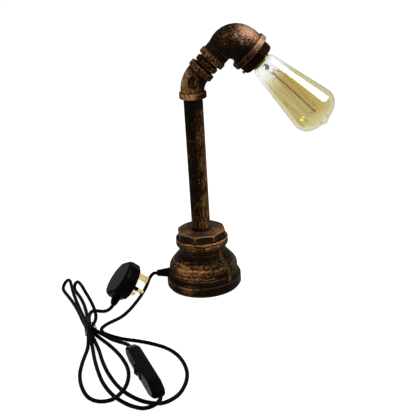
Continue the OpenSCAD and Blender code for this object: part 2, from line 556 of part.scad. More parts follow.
module switch_screws() color("silver") switch() for (s = [-1, 1]) translate([s * switch_screw_x, 0, 0]) {
  translate([0, 0, -switch_h / 2 + 0.95]) cylinder(d = 5.6, h = 2);
  translate([0, 0, -switch_h / 2 + 2.9]) cylinder(d = 3, h = switch_h / 2 + 0.6);
}
module switch_terminals() color("goldenrod") switch() for (s = [-1, 1]) translate([s * (cavity_l / 2 - 8), 0, -switch_h / 2 + 2.55]) {
  translate([-5, -4, 0]) cube([10, 8, 6]);
  translate([0, 0, 6]) cylinder(d = 4.4, h = 1.4);
  translate([-s * 5 - (s > 0 ? 4 : 0), -2.5, 3]) cube([4, 5, 0.8]);
}

// ---- Plug: local Z along the pins, Y towards the earth pin, origin on the middle of its face ----
plug_at = [-99.3, -35.2, 24.65];
plug_x = unit([-0.555, 0.707, -0.432]);
plug_y0 = [0.382, 0.688, 0.604];
plug_z = unit(cross(plug_x, plug_y0));
plug_y = cross(plug_z, plug_x);
function on_plug(v) = plug_at + v[0] * plug_x + v[1] * plug_y + v[2] * plug_z;
module plug() { multmatrix([[plug_x[0], plug_y[0], plug_z[0], plug_at[0]], [plug_x[1], plug_y[1], plug_z[1], plug_at[1]],
  [plug_x[2], plug_y[2], plug_z[2], plug_at[2]]]) children(); }
plug_out = plug_l - 22;          // from the middle of the face down to its cord edge
pin_pitch = 22.2;
line_y = -9;
earth_y = line_y + pin_pitch;
sleeve_l = 9.5;
grip_l = 11;
grip_dir = -plug_y;
grip_end = on_plug([0, -plug_out - grip_l, -plug_depth * 0.45]);
// Outline of the body, drawn in by g at a depth z behind the face
function plug_ring(g, z) = [for (q = [[-12, -plug_out], [12, -plug_out], [plug_w / 2 - 6, -plug_out + 4], [plug_w / 2 - 1, -14], [plug_w / 2, -6],
    [plug_w / 2 - 1.5, 4], [plug_w / 2 - 5, 13], [12, 21], [8, 22], [-8, 22], [-12, 21], [-plug_w / 2 + 5, 13], [-plug_w / 2 + 1.5, 4],
    [-plug_w / 2, -6], [-plug_w / 2 + 1, -14], [-plug_w / 2 + 6, -plug_out + 4]])
  // the back slopes in towards the earth pin
  [-q[0] * (1 - g / 25), q[1] * (1 - g / 25), z * (0.93 - 0.0035 * q[1])]];
module plug_body() color([0.05, 0.05, 0.05]) plug() difference() {
  loft([plug_ring(3.5, -plug_depth), plug_ring(1, -plug_depth + 2.5), plug_ring(0, -plug_depth + 6), plug_ring(0, -2), plug_ring(0.8, 0)]);
  // pocket for the fuse and its carrier
  translate([-fuse_box_l / 2, fuse_y - fuse_box_w / 2, -fuse_box_h]) cube([fuse_box_l, fuse_box_w, fuse_box_h + 1]);
  // seats of the three pins
  translate([-pin_wide / 2 - 0.05, earth_y - 4.05 - 0.0, -pin_seat]) translate([pin_wide / 2 - 1.95, 0, 0]) cube([4, 8.1, pin_seat + 1]);
  for (s = [-1, 1]) translate([s * pin_pitch / 2 - pin_wide / 2 - 0.05, line_y - 2.05, -pin_seat]) cube([pin_wide + 0.1, 4.1, pin_seat + 1]);
}
pin_wide = 6.35;
pin_seat = 12;
fuse_y = 1.6;
fuse_box_l = fuse_l + 6;
fuse_box_w = 10;
fuse_box_h = 10.5;
module plug_grip() color([0.05, 0.05, 0.05]) plug() translate([0, -plug_out - 0.05, -plug_depth * 0.45]) rotate([90, 0, 0]) {
  cylinder(d1 = 13, d2 = 11.5, h = 2.2);
  translate([0, 0, 2.2]) cylinder(d = 9.4, h = 1.2);
  translate([0, 0, 3.4]) cylinder(d1 = 11, d2 = 10.4, h = 1.8);
  translate([0, 0, 5.2]) cylinder(d = 8.6, h = 1.2);
  translate([0, 0, 6.4]) cylinder(d1 = 10, d2 = 9.6, h = 1.6);
  translate([0, 0, 8]) cylinder(d1 = 8.4, d2 = 7.4, h = grip_l - 8 - 0.05);
}
module plug_earth_pin() color("goldenrod") plug() translate([-1.9, earth_y - 4, -pin_seat + 0.05]) cube([3.8, 8, pin_seat + 22.7]);
module plug_line_pins() color("goldenrod") plug() for (s = [-1, 1]) translate([s * pin_pitch / 2, line_y, 0]) {
  translate([-pin_wide / 2, -2, -pin_seat + 0.05]) cube([pin_wide, 4, pin_seat]);
  translate([-pin_wide / 2 + 0.6, -1.5, -1]) cube([pin_wide - 1.2, 3, sleeve_l + 2]);
  translate([-pin_wide / 2, -2, sleeve_l + 0.05]) cube([pin_wide, 4, 17.7 - sleeve_l]);
}
module plug_sleeves() color([0.04, 0.04, 0.04]) plug() for (s = [-1, 1]) translate([s * pin_pitch / 2, line_y, 0.1]) difference() {
  translate([-pin_wide / 2, -2, 0]) cube([pin_wide, 4, sleeve_l - 0.1]);
  translate([-pin_wide / 2 + 0.55, -1.55, -1]) cube([pin_wide - 1.1, 3.1, sleeve_l + 2]);
}
module fuse_carrier() color([0.3, 0.05, 0.04]) plug() translate([0, fuse_y, 0]) difference() {
  translate([-fuse_box_l / 2 + 0.3, -fuse_box_w / 2 + 0.3, -fuse_box_h + 0.3]) cube([fuse_box_l - 0.6, fuse_box_w - 0.6, fuse_box_h]);
  translate([-fuse_l / 2 - 0.3, -fuse_box_w, -fuse_box_h - 1]) cube([fuse_l + 0.6, 2 * fuse_box_w, fuse_box_h - 1]);
  translate([-3, -fuse_box_w / 2 - 0.1, -0.9]) cube([6, 1.6, 2]);
}
module fuse() color("silver") plug() translate([0, fuse_y, -fuse_box_h / 2 - 1.2]) rotate([0, 90, 0]) {
  cylinder(d = 6.2, h = fuse_l - 12, center = true);
  for (s = [-1, 1]) translate([0, 0, s * (fuse_l / 2 - 3.2)]) cylinder(d = 6.35, h = 6.4, center = true);
}

// ---- Cord ----
// A smooth curve through chosen points, n steps between two of them; a and z are the
// points it comes from and goes on to
function knot(p, i, a, z) = i < 0 ? (a ? a : 2 * p[0] - p[1])
  : i > len(p) - 1 ? (z ? z : 2 * p[len(p) - 1] - p[len(p) - 2]) : p[i];
function pace(a, b) = max(0.01, pow(norm(b - a), 0.5));
function spline(p, n, e0, e1) = concat([for (i = [0:len(p) - 2]) let (
    a = knot(p, i - 1, e0, e1), b = p[i], c = p[i + 1], d = knot(p, i + 2, e0, e1),
    ta = pace(a, b), tb = pace(b, c), tc = pace(c, d),
    m = tb * ((b - a) / ta - (c - a) / (ta + tb) + (c - b) / tb),
    k = tb * ((c - b) / tb - (d - b) / (tb + tc) + (d - c) / tc))
  for (j = [0:n - 1]) bez([b, b + m / 3, c - k / 3, c], j / n)], [p[len(p) - 1]]);
cord_r = cord_d / 2;
z0 = cord_r;                     // a strand on the table
z1 = z0 + cord_d + 0.6;          // a strand on another
z2 = z0 + 2.2 * cord_d;          // a strand in the dip over two pairs
// From the gland down to the table
lamp_route = [[-gland_end, 0, gland_z], [-69.6, 0, 17.6], [-75, -3.5, 13.5], [-79, -11, 7], [-82.5, -21, 3.4],
  [-87.5, -39, z0], [-93, -57, z0], [-99.5, -75, z0], [-107, -90, z0], [-113.5, -98, z0], [-117, -101.2, z0]];
// The hank: right loop, far left fold, left loop, near left fold, and on to the switch
hank_route = [[-117, -101.2, z0], [-120.5, -104.4, z0], [-127, -111.5, z0], [-131, -120, z0], [-129.5, -128.5, z0],
  [-123, -135.5, z0], [-113, -143, z0], [-100, -150, z0], [-84, -156, z0], [-67, -164, z0], [-51, -174.5, z0],
  [-38, -189, z0], [-28.5, -209, z0], [-23.5, -234, z0], [-26, -258, z0], [-34.5, -277.5, z0], [-49, -288.5, z0],
  [-66, -285.5, z0], [-82, -274, z0], [-97, -256, z0], [-111.5, -228, z0], [-121.5, -200, z0], [-129.5, -171, z0],
  [-137, -150, 4], [-142.5, -138.5, 8], [-146.7, -130, z1 + 1.4], [-150.3, -116, z1 + 0.4], [-155, -100, z1],
  [-161, -83, z1], [-166.5, -67, 8.7], [-171.5, -53, 10.5], [-176, -39, 12.2], [-180, -25, 13.8],
  [-183.5, -11, 14.9], [-186.7, -1.5, 14.9], [-190.3, 4, 13], [-194, 6, 9], [-196.9, 4, 4.7], [-196.6, -2.5, 2.6],
  [-193.8, -10, z0], [-187, -24, z0], [-178.5, -42, z0], [-170.5, -61, z0], [-163.5, -80, z0], [-157.5, -98, z0],
  [-151.3, -115, z0 + 0.3], [-147, -130.5, z0 + 1.4], [-144.4, -149, z0], [-143.3, -168, z0], [-145.5, -200, z0],
  [-145, -225, z0], [-139.5, -250, z0], [-129.5, -271, 2.6], [-116, -283, 5], [-102.5, -284.5, 7.6], [-92.5, -270, 7.8],
  [-89, -246, 4.6], [-91, -219, z0], [-100, -193, z0], [-112.5, -170, z0], [-124, -153, z0], [-134, -139.5, z0 + 0.3],
  [-141.3, -129, z0 + 1.4], [-145.8, -115, z0 + 0.3], [-150.3, -99, z0], [-153.5, -85, z0], [-157.5, -68, z0],
  [-163, -48, z0], [-169, -31.5, z0], [-175.8, -16, z0], [-179, -9, 2.6], [-180.6, -4, 4.9], [-179.6, -1.2, 8.8], [-176.6, -2.3, 12.4],
  [-173, -8, 14.3], [-167, -21, 14.6], [-160.7, -36, 13], [-153.5, -52, 10.4], [-147.7, -66, 7.2],
  [-144, -78, 5], [-141.3, -92, 4.5], [-140.6, -106, 5.9], [-141.4, -118, 8], [-141, -127.5, z1 + 1.4], [-137.3, -134.2, 9],
  [-131.5, -138.8, 7.2], [-124.5, -143, 5], [-117, -149.5, 3.8], [-109.5, -157, 4.6], [-102, -165.5, 6.8],
  [-96, -173, 9], switch_near - 4.6 * switch_dir, switch_near];
// From the far end of the switch, back through the tie to the plug
plug_route = [switch_far, switch_far + 4.6 * switch_dir, [-52, -294.5, 9.2], [-58.5, -299.8, 7.4], [-68, -300, 5],
  [-78.5, -293.5, 3], [-88, -286, z0], [-101.5, -271.5, z0], [-115, -248, z0], [-124.5, -221, z0], [-132.5, -190, z0],
  [-137.2, -167, 3.2], [-140.8, -151, 9], [-143, -141, 13], [-144.1, -130, z2 + 1.6], [-146, -117, z2 + 0.6],
  [-147.5, -105, 12.2], [-147, -94, 11.7], [-143.5, -87, 10.6], [-138.3, -83.3, 7.8], [-133.5, -79.2, 4.9], [-129, -74.4, 3], [-125.1, -69.3, 3.2], grip_end + 1.8 * grip_dir, grip_end];
// Kept from sinking into the table
function laid(p) = [for (q = p) [q[0], q[1], max(q[2], cord_r)]];
hank_path = laid(spline(hank_route, 1, lamp_route[len(lamp_route) - 2]));
function run_length(p) = [for (i = 0, s = 0; i < len(p); s = s + (i + 1 < len(p) ? norm(p[i + 1] - p[i]) : 0), i = i + 1) s];
// Least air between stretches of the hank that lie more than four diameters apart along it
hank_fine = laid(spline(hank_route, 4, lamp_route[len(lamp_route) - 2]));
hank_run = run_length(hank_fine);
hank_gap = min([for (i = [0:len(hank_fine) - 1]) let (far = [for (j = [i + 1:1:len(hank_fine) - 1])
  if (hank_run[j] - hank_run[i] > 4 * cord_d) norm(hank_fine[i] - hank_fine[j])]) len(far) > 0 ? min(far) : 1000]) - cord_d;
echo(least_gap_between_hank_strands = hank_gap);

module cord_lamp_lead() { color([0.05, 0.05, 0.05]) tube(laid(spline(lamp_route, 2, undef, hank_route[1])), cord_d, 8, [0.02, 0.05, 1], [-1, 0, 0],
  unit(hank_route[1] - hank_route[0])); }
module cord_hank() { color([0.05, 0.05, 0.05]) tube(hank_path, cord_d, 6, [0.02, 0.05, 1], unit(hank_route[1] - hank_route[0]), switch_dir); }
module cord_plug_lead() { color([0.05, 0.05, 0.05]) tube(laid(spline(plug_route, 2)), cord_d, 8, [0.02, 0.05, 1], switch_dir, -grip_dir); }

// Tie round the five strands at the waist, with its two twisted ends
tie_at = [-143.4, -129.7, 0];
tie_turn = 12;
tie_w = 2 * cord_d + 3;        // room inside the tie
tie_h = z2 + cord_r + 2.4;
module cord_tie() { color([0.04, 0.04, 0.04]) translate(tie_at) rotate([0, 0, tie_turn]) rotate([90, 0, 0]) {
  difference() {
    translate([0, 0, -2]) linear_extrude(4) offset(1) polygon([[-tie_w / 2, 1.05], [tie_w / 2, 1.05], [tie_w / 2, tie_h * 0.6],
      [tie_w * 0.22, tie_h], [-tie_w * 0.22, tie_h], [-tie_w / 2, tie_h * 0.6]]);
    translate([0, 0, -3]) linear_extrude(6) polygon([[-tie_w / 2, 1.05], [tie_w / 2, 1.05], [tie_w / 2, tie_h * 0.6],
      [tie_w * 0.22, tie_h], [-tie_w * 0.22, tie_h], [-tie_w / 2, tie_h * 0.6]]);
  }
  for (s = [0, 1]) translate([-tie_w / 2 - 1, 5.5 + s * 1.6, -s]) rotate([0, -100, 12 - 30 * s]) cylinder(r = 0.8, h = 7, $fn = 16);
} }

base_felt();
base_reducer();
octagon_bushing();
post_pipe();
cord_gland();
gland_nut();
earth_screw();
earth_tag();
earth_core();
lead_stand();
elbow_45();
hex_nipple();
lead_arm();
elbow_90();
holder_collar();
grub_screw();
holder_body();
holder_shell();
holder_contact();
holder_terminals();
lead_head();
bulb_glass();
bulb_cap();
cap_insulator();
cap_contact();
bulb_stem();
bulb_wires();
filament();
cord_lamp_lead();
cord_hank();
cord_plug_lead();
cord_tie();
switch_base();
switch_cover();
switch_pin();
switch_rocker();
switch_screws();
switch_terminals();
plug_body();
plug_grip();
plug_earth_pin();
plug_line_pins();
plug_sleeves();
fuse_carrier();
fuse();
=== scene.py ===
"""Industrial pipe table lamp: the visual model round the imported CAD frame. Metres."""
import bpy
import bmesh
import math
from mathutils import Matrix, Vector, noise


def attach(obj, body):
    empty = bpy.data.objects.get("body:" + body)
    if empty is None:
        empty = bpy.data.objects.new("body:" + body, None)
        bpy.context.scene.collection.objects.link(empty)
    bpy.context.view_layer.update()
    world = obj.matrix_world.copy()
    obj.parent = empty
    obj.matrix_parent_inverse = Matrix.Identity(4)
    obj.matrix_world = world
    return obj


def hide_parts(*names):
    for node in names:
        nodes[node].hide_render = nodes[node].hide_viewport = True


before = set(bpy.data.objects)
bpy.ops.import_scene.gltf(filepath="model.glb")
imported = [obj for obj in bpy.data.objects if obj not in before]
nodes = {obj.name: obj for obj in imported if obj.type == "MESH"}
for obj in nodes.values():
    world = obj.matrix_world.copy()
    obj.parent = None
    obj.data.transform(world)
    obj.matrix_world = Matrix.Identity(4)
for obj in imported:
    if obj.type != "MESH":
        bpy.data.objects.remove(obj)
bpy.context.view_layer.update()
scene = bpy.context.scene
MM = 0.001

# ---------------------------------------------------------------- camera
# Fitted to the photograph: the eye in mm, and the focal length in its pixels
FRAME_PX, FOCAL_PX, SENSOR_MM = 416, 800, 36
EYE = (10.8, -1006.5, 491.9)
PITCH, ROLL = math.radians(20.8), math.radians(3.4)
flat_right, flat_up = Vector((1, 0, 0)), Vector((0, math.sin(PITCH), math.cos(PITCH)))
forward = Vector((0, math.cos(PITCH), -math.sin(PITCH)))
right = flat_right * math.cos(ROLL) - flat_up * math.sin(ROLL)
up = flat_right * math.sin(ROLL) + flat_up * math.cos(ROLL)
camera = bpy.data.objects.new("camera", bpy.data.cameras.new("camera"))
scene.collection.objects.link(camera)
camera.data.sensor_width = SENSOR_MM
camera.data.lens = SENSOR_MM * FOCAL_PX / FRAME_PX
camera.data.clip_start = 0.05
facing = Matrix((right, up, -forward)).transposed().to_4x4()
camera.matrix_world = Matrix.Translation(Vector(EYE) * MM) @ facing
scene.camera = camera
scene.view_settings.view_transform = "Standard"


# ---------------------------------------------------------------- helpers
def link(name, data):
    ob = bpy.data.objects.new(name, data)
    scene.collection.objects.link(ob)
    return ob


def mesh_object(name, verts, faces, smooth=True):
    me = bpy.data.meshes.new(name)
    me.from_pydata([tuple(v) for v in verts], [], faces)
    me.update()
    bm = bmesh.new()
    bm.from_mesh(me)
    bmesh.ops.recalc_face_normals(bm, faces=bm.faces)
    bm.to_mesh(me)
    bm.free()
    for p in me.polygons:
        p.use_smooth = smooth
    return link(name, me)


def sharpen(ob, angle):
    ob.data.set_sharp_from_angle(angle=math.radians(angle))


def basis(origin, x, y, z):
    """Matrix of a local frame, from its axes as unit vectors."""
    return Matrix.Translation(Vector(origin)) @ Matrix((x, y, z)).transposed().to_4x4()


def poly_curve(name, paths, radius, resolution, caps=False):
    """Round wire along paths, all in metres."""
    cu = bpy.data.curves.new(name, "CURVE")
    cu.dimensions, cu.bevel_depth, cu.bevel_resolution, cu.use_fill_caps = "3D", radius, resolution, caps
    for path in paths:
        strand = cu.splines.new("POLY")
        strand.points.add(len(path) - 1)
        for point, q in zip(strand.points, path):
            point.co = (*q, 1)
    return link(name, cu)


def spun(name, outline, place, n, closed=True):
    """Surface of revolution about the place's Z; the outline is a list of (radius, height) in mm."""
    verts, rings = [], []
    for r, z in outline:
        ring = []
        for j in range(1 if r < 1e-6 else n):
            a = 2 * math.pi * j / n
            ring.append(len(verts))
            verts.append(place @ (Vector((r * math.cos(a), r * math.sin(a), z)) * MM))
        rings.append(ring)
    faces = []
    pairs = list(zip(rings, rings[1:])) + ([(rings[-1], rings[0])] if closed else [])
    for a, b in pairs:
        for j in range(n):
            quad = [a[j % len(a)], a[(j + 1) % len(a)], b[(j + 1) % len(b)], b[j % len(b)]]
            face = list(dict.fromkeys(quad))
            if len(face) > 2:
                faces.append(face)
    return mesh_object(name, verts, faces)


# ---------------------------------------------------------------- materials
def node_of(nt, kind, **sockets):
    """New node; p_name sets a property, and any other name an input."""
    n = nt.nodes.new(kind)
    for k, v in sockets.items():
        if k.startswith("p_"):
            setattr(n, k[2:], v)
        else:
            n.inputs[k.replace("_", " ")].default_value = v
    return n


def math_of(nt, op, a, b=0.0, clamp=False):
    """Output of a Math node; a and b are outputs or numbers."""
    n = nt.nodes.new("ShaderNodeMath")
    n.operation, n.use_clamp = op, clamp
    for i, v in enumerate((a, b)):
        if isinstance(v, (int, float)):
            n.inputs[i].default_value = v
        else:
            nt.links.new(v, n.inputs[i])
    return n.outputs[0]


def ramp_of(nt, fac, stops):
    """Colour ramp; each stop is (position, grey or colour)."""
    n = nt.nodes.new("ShaderNodeValToRGB")
    while len(n.color_ramp.elements) < len(stops):
        n.color_ramp.elements.new(0.5)
    for e, (pos, c) in zip(n.color_ramp.elements, stops):
        e.position = pos
        e.color = (c, c, c, 1) if isinstance(c, (int, float)) else (*c, 1)
    nt.links.new(fac, n.inputs[0])
    return n.outputs[0]


def mix_of(nt, fac, a, b):
    """Colour mix from a to b."""
    n = nt.nodes.new("ShaderNodeMix")
    n.data_type = "RGBA"
    for s, v in ((n.inputs[0], fac), (n.inputs[6], a), (n.inputs[7], b)):
        if isinstance(v, (int, float)):
            s.default_value = v
        elif isinstance(v, tuple):
            s.default_value = (*v, 1)
        else:
            nt.links.new(v, s)
    return n.outputs[2]


def noise_of(nt, scale, stretch=(1, 1, 1), turn=(0, 0, 0), detail=4.0, rough=0.6, distort=0.0):
    co = nt.nodes.new("ShaderNodeTexCoord")
    mp = node_of(nt, "ShaderNodeMapping", Scale=tuple(scale * s for s in stretch),
                 Rotation=tuple(math.radians(t) for t in turn))
    nt.links.new(co.outputs["Object"], mp.inputs[0])
    n = node_of(nt, "ShaderNodeTexNoise", Scale=1.0, Detail=detail, Roughness=rough, Distortion=distort)
    nt.links.new(mp.outputs[0], n.inputs[0])
    return n.outputs[0]


def vector_math_of(nt, op, a, b=None):
    """Outputs of a Vector Math node; b is an output or a fixed vector."""
    n = nt.nodes.new("ShaderNodeVectorMath")
    n.operation = op
    nt.links.new(a, n.inputs[0])
    if isinstance(b, bpy.types.NodeSocket):
        nt.links.new(b, n.inputs[1])
    elif b is not None:
        n.inputs[1].default_value = b
    return n.outputs


def dot_of(nt, a, b):
    return vector_math_of(nt, "DOT_PRODUCT", a, b)["Value"]


def place_of(nt):
    return nt.nodes.new("ShaderNodeTexCoord").outputs["Object"]


def near_of(nt, place, centre, radius):
    """1 at a centre in mm, falling to 0 at a radius in mm."""
    far = vector_math_of(nt, "DISTANCE", place, Vector(centre) * MM)["Value"]
    return math_of(nt, "SUBTRACT", 1.0, math_of(nt, "DIVIDE", far, radius * MM), True)


def seen_of(nt):
    """1 for what the camera sees, straight or through glossy and clear surfaces."""
    rays = nt.nodes.new("ShaderNodeLightPath").outputs
    passed_on = math_of(nt, "MAXIMUM", rays["Is Glossy Ray"], rays["Is Transmission Ray"])
    return math_of(nt, "MAXIMUM", rays["Is Camera Ray"], passed_on)


def new_material(name):
    m = bpy.data.materials.new(name)
    m.use_nodes = True
    nt = m.node_tree
    return m, nt, nt.nodes["Principled BSDF"]


def bump_of(nt, height, strength, distance, normal=None):
    n = node_of(nt, "ShaderNodeBump", Strength=strength, Distance=distance)
    nt.links.new(height, n.inputs["Height"])
    if normal is not None:
        nt.links.new(normal, n.inputs["Normal"])
    return n.outputs[0]


# Rubbed finish
EDGE_GAIN = 12.0        # how fast a rounded corner counts as an edge
HOLLOW_REACH = 0.006    # metres that the corners' darkening looks round
STREAKS, FINE, PATCHES, ZONES = 0.56, 0.5, 0.3, 0.36    # weights in the rub's pattern
RUB_LEVEL, RUB_COVER = 0.76, 0.16   # pattern value where the rub starts, and its change with cover


def edge_of(nt, radius):
    """(mask of the sharp edges, rounded normal)"""
    bevel = node_of(nt, "ShaderNodeBevel", Radius=radius, p_samples=6).outputs[0]
    turned = dot_of(nt, bevel, nt.nodes.new("ShaderNodeNewGeometry").outputs["Normal"])
    return math_of(nt, "MULTIPLY", math_of(nt, "SUBTRACT", 1.0, turned), EDGE_GAIN, True), bevel


def rubbed(name, dark, copper, cover, scale=300, stretch=(1, 1, 1), turn=(0, 0, 0), edge=1.0, metallic=0.3,
           rough=0.45, zones=(), spots=(), soft=1.0, rim_r=0.0018, spec=0.005, lathe=0.0, painted_sheen_spot=None,
           tones=(0.45, 1.6)):
    """Near-black casting with copper rubbed over its high places and edges, dark in its corners.

    zones  [(direction, [(mm along it, cover there)])]
    spots  [(centre in mm, radius in mm, more or less cover)]
    lathe  weight of turned rings along Z
    painted_sheen_spot  (centre in mm, radius in mm, colour) where the copper changes to the colour of a painted
    reflection tones  the copper's darkest and lightest shade, times its colour
    """
    m, nt, bsdf = new_material(name)
    rim, normal = edge_of(nt, rim_r)
    place = place_of(nt)
    streak = noise_of(nt, scale, stretch, turn, 4, 0.65, 0.5)
    fine = noise_of(nt, scale * 2.6, tuple(0.5 + 0.5 * s for s in stretch), turn, 2, 0.6)
    patch = noise_of(nt, 38, (1, 1, 1), (10, 20, 30), 2, 0.5)
    ao = node_of(nt, "ShaderNodeAmbientOcclusion", Distance=HOLLOW_REACH, p_samples=6)
    hollow = math_of(nt, "SUBTRACT", 1.0, ao.outputs["AO"])

    pattern = math_of(nt, "ADD", math_of(nt, "MULTIPLY", streak, STREAKS), math_of(nt, "MULTIPLY", fine, FINE))
    pattern = math_of(nt, "ADD", pattern, math_of(nt, "MULTIPLY", patch, PATCHES))
    if lathe:
        rings = node_of(nt, "ShaderNodeTexWave", Scale=66, Distortion=5, Detail=4, Detail_Scale=0.8,
                        p_bands_direction="Z")
        nt.links.new(place, rings.inputs["Vector"])
        swing = math_of(nt, "SUBTRACT", rings.outputs["Fac"], 0.5)
        pattern = math_of(nt, "ADD", pattern, math_of(nt, "MULTIPLY", swing, lathe))
    for along, steps in zones:
        low, top = steps[0][0], steps[-1][0]
        height = dot_of(nt, place, Vector(along).normalized())
        level = math_of(nt, "DIVIDE", math_of(nt, "SUBTRACT", height, low * MM), (top - low) * MM, True)
        gain = ramp_of(nt, level, [((z - low) / (top - low), g) for z, g in steps])
        gain = math_of(nt, "MULTIPLY", math_of(nt, "SUBTRACT", gain, 0.5), ZONES)
        pattern = math_of(nt, "ADD", pattern, gain)
    for centre, radius, gain in spots:
        near = near_of(nt, place, centre, radius)
        pattern = math_of(nt, "ADD", pattern, math_of(nt, "MULTIPLY", near, gain))

    mid = RUB_LEVEL - RUB_COVER * cover
    worn = ramp_of(nt, pattern, [(mid - 0.05 * soft, 0.0), (mid + 0.01, 0.25), (mid + 0.09 * soft, 1.0)])
    worn = math_of(nt, "SUBTRACT", worn, math_of(nt, "MULTIPLY", hollow, 1.6), True)
    open_side = math_of(nt, "SUBTRACT", 1.0, math_of(nt, "MULTIPLY", hollow, 2.6), True)
    lined = math_of(nt, "MULTIPLY", math_of(nt, "MULTIPLY", rim, edge), open_side)
    lined = math_of(nt, "MULTIPLY", lined, ramp_of(nt, fine, [(0.36, 0.3), (0.56, 1.0)]), True)
    worn = math_of(nt, "MAXIMUM", worn, lined)

    def shade(colour, k):
        return tuple(c * k for c in colour)

    # Near a given centre the copper turns to the colour of a painted reflection
    if painted_sheen_spot:
        near = math_of(nt, "MULTIPLY", near_of(nt, place, painted_sheen_spot[0], painted_sheen_spot[1]), 2.0, True)
        low, high = (mix_of(nt, near, shade(copper, k), shade(painted_sheen_spot[2], k)) for k in tones)
    else:
        low, high = (shade(copper, k) for k in tones)
    ground = mix_of(nt, hollow, dark, shade(dark, 0.3))
    tone = mix_of(nt, ramp_of(nt, fine, [(0.35, 0.0), (0.65, 1.0)]), low, high)
    painted = mix_of(nt, ramp_of(nt, worn, [(0.0, 0.0), (0.5, 0.3), (1.0, 1.0)]), ground, tone)
    nt.links.new(painted, bsdf.inputs["Base Color"])
    nt.links.new(ramp_of(nt, worn, [(0.0, rough + 0.1), (1.0, rough - 0.05)]), bsdf.inputs["Roughness"])
    nt.links.new(math_of(nt, "MULTIPLY", worn, metallic), bsdf.inputs["Metallic"])
    bsdf.inputs["Specular IOR Level"].default_value = spec

    grain = noise_of(nt, 1100, (1, 1, 1), (0, 0, 0), 3, 0.6)
    relief = math_of(nt, "ADD", math_of(nt, "MULTIPLY", fine, 0.7), math_of(nt, "MULTIPLY", grain, 0.3))
    relief = math_of(nt, "ADD", relief, math_of(nt, "MULTIPLY", worn, 0.25))
    nt.links.new(bump_of(nt, relief, 0.6, 0.0006, normal), bsdf.inputs["Normal"])
    return m


def plastic(name, colour, rough, spec=0.35, grain=0.12, scale=1600, edge=0.0006):
    """Moulded plastic with a fine grain; edge is the rounding of its corners in metres."""
    m, nt, bsdf = new_material(name)
    tone = noise_of(nt, 60, (1, 1, 1), (0, 0, 0), 3, 0.5)
    tone = mix_of(nt, tone, tuple(c * 0.75 for c in colour), tuple(c * 1.35 for c in colour))
    nt.links.new(tone, bsdf.inputs["Base Color"])
    sheen = noise_of(nt, 240, (1, 1, 1), (0, 0, 0), 3)
    nt.links.new(ramp_of(nt, sheen, [(0.3, rough - 0.06), (0.7, rough + 0.08)]), bsdf.inputs["Roughness"])
    bsdf.inputs["Specular IOR Level"].default_value = spec
    normal = edge_of(nt, edge)[1] if edge else None
    pores = noise_of(nt, scale, (1, 1, 1), (0, 0, 0), 2)
    nt.links.new(bump_of(nt, pores, grain, 0.0002, normal), bsdf.inputs["Normal"])
    return m


def metal(name, colour, rough, scale=300, stretch=(1, 1, 1), tarnish=0.35, edge=0.0005):
    """Bare metal with tarnished spots."""
    m, nt, bsdf = new_material(name)
    spots = noise_of(nt, scale, stretch, (0, 0, 0), 5, 0.65)
    dulled = ramp_of(nt, spots, [(0.35, 0.0), (0.7, tarnish)])
    nt.links.new(mix_of(nt, dulled, colour, tuple(c * 0.45 for c in colour)), bsdf.inputs["Base Color"])
    bsdf.inputs["Metallic"].default_value = 1.0
    nt.links.new(ramp_of(nt, spots, [(0.3, rough - 0.05), (0.75, rough + 0.12)]), bsdf.inputs["Roughness"])
    normal = edge_of(nt, edge)[1]
    nt.links.new(bump_of(nt, noise_of(nt, scale * 5, stretch), 0.15, 0.0002, normal), bsdf.inputs["Normal"])
    return m


def felt_material():
    m, nt, bsdf = new_material("felt_black")
    nap = noise_of(nt, 1400, (1, 1, 0.4), (0, 0, 0), 5, 0.8)
    nt.links.new(mix_of(nt, nap, (0.006, 0.006, 0.006), (0.035, 0.034, 0.033)), bsdf.inputs["Base Color"])
    bsdf.inputs["Roughness"].default_value = 0.95
    bsdf.inputs["Sheen Weight"].default_value = 0.25
    nt.links.new(bump_of(nt, nap, 0.7, 0.0005), bsdf.inputs["Normal"])
    return m


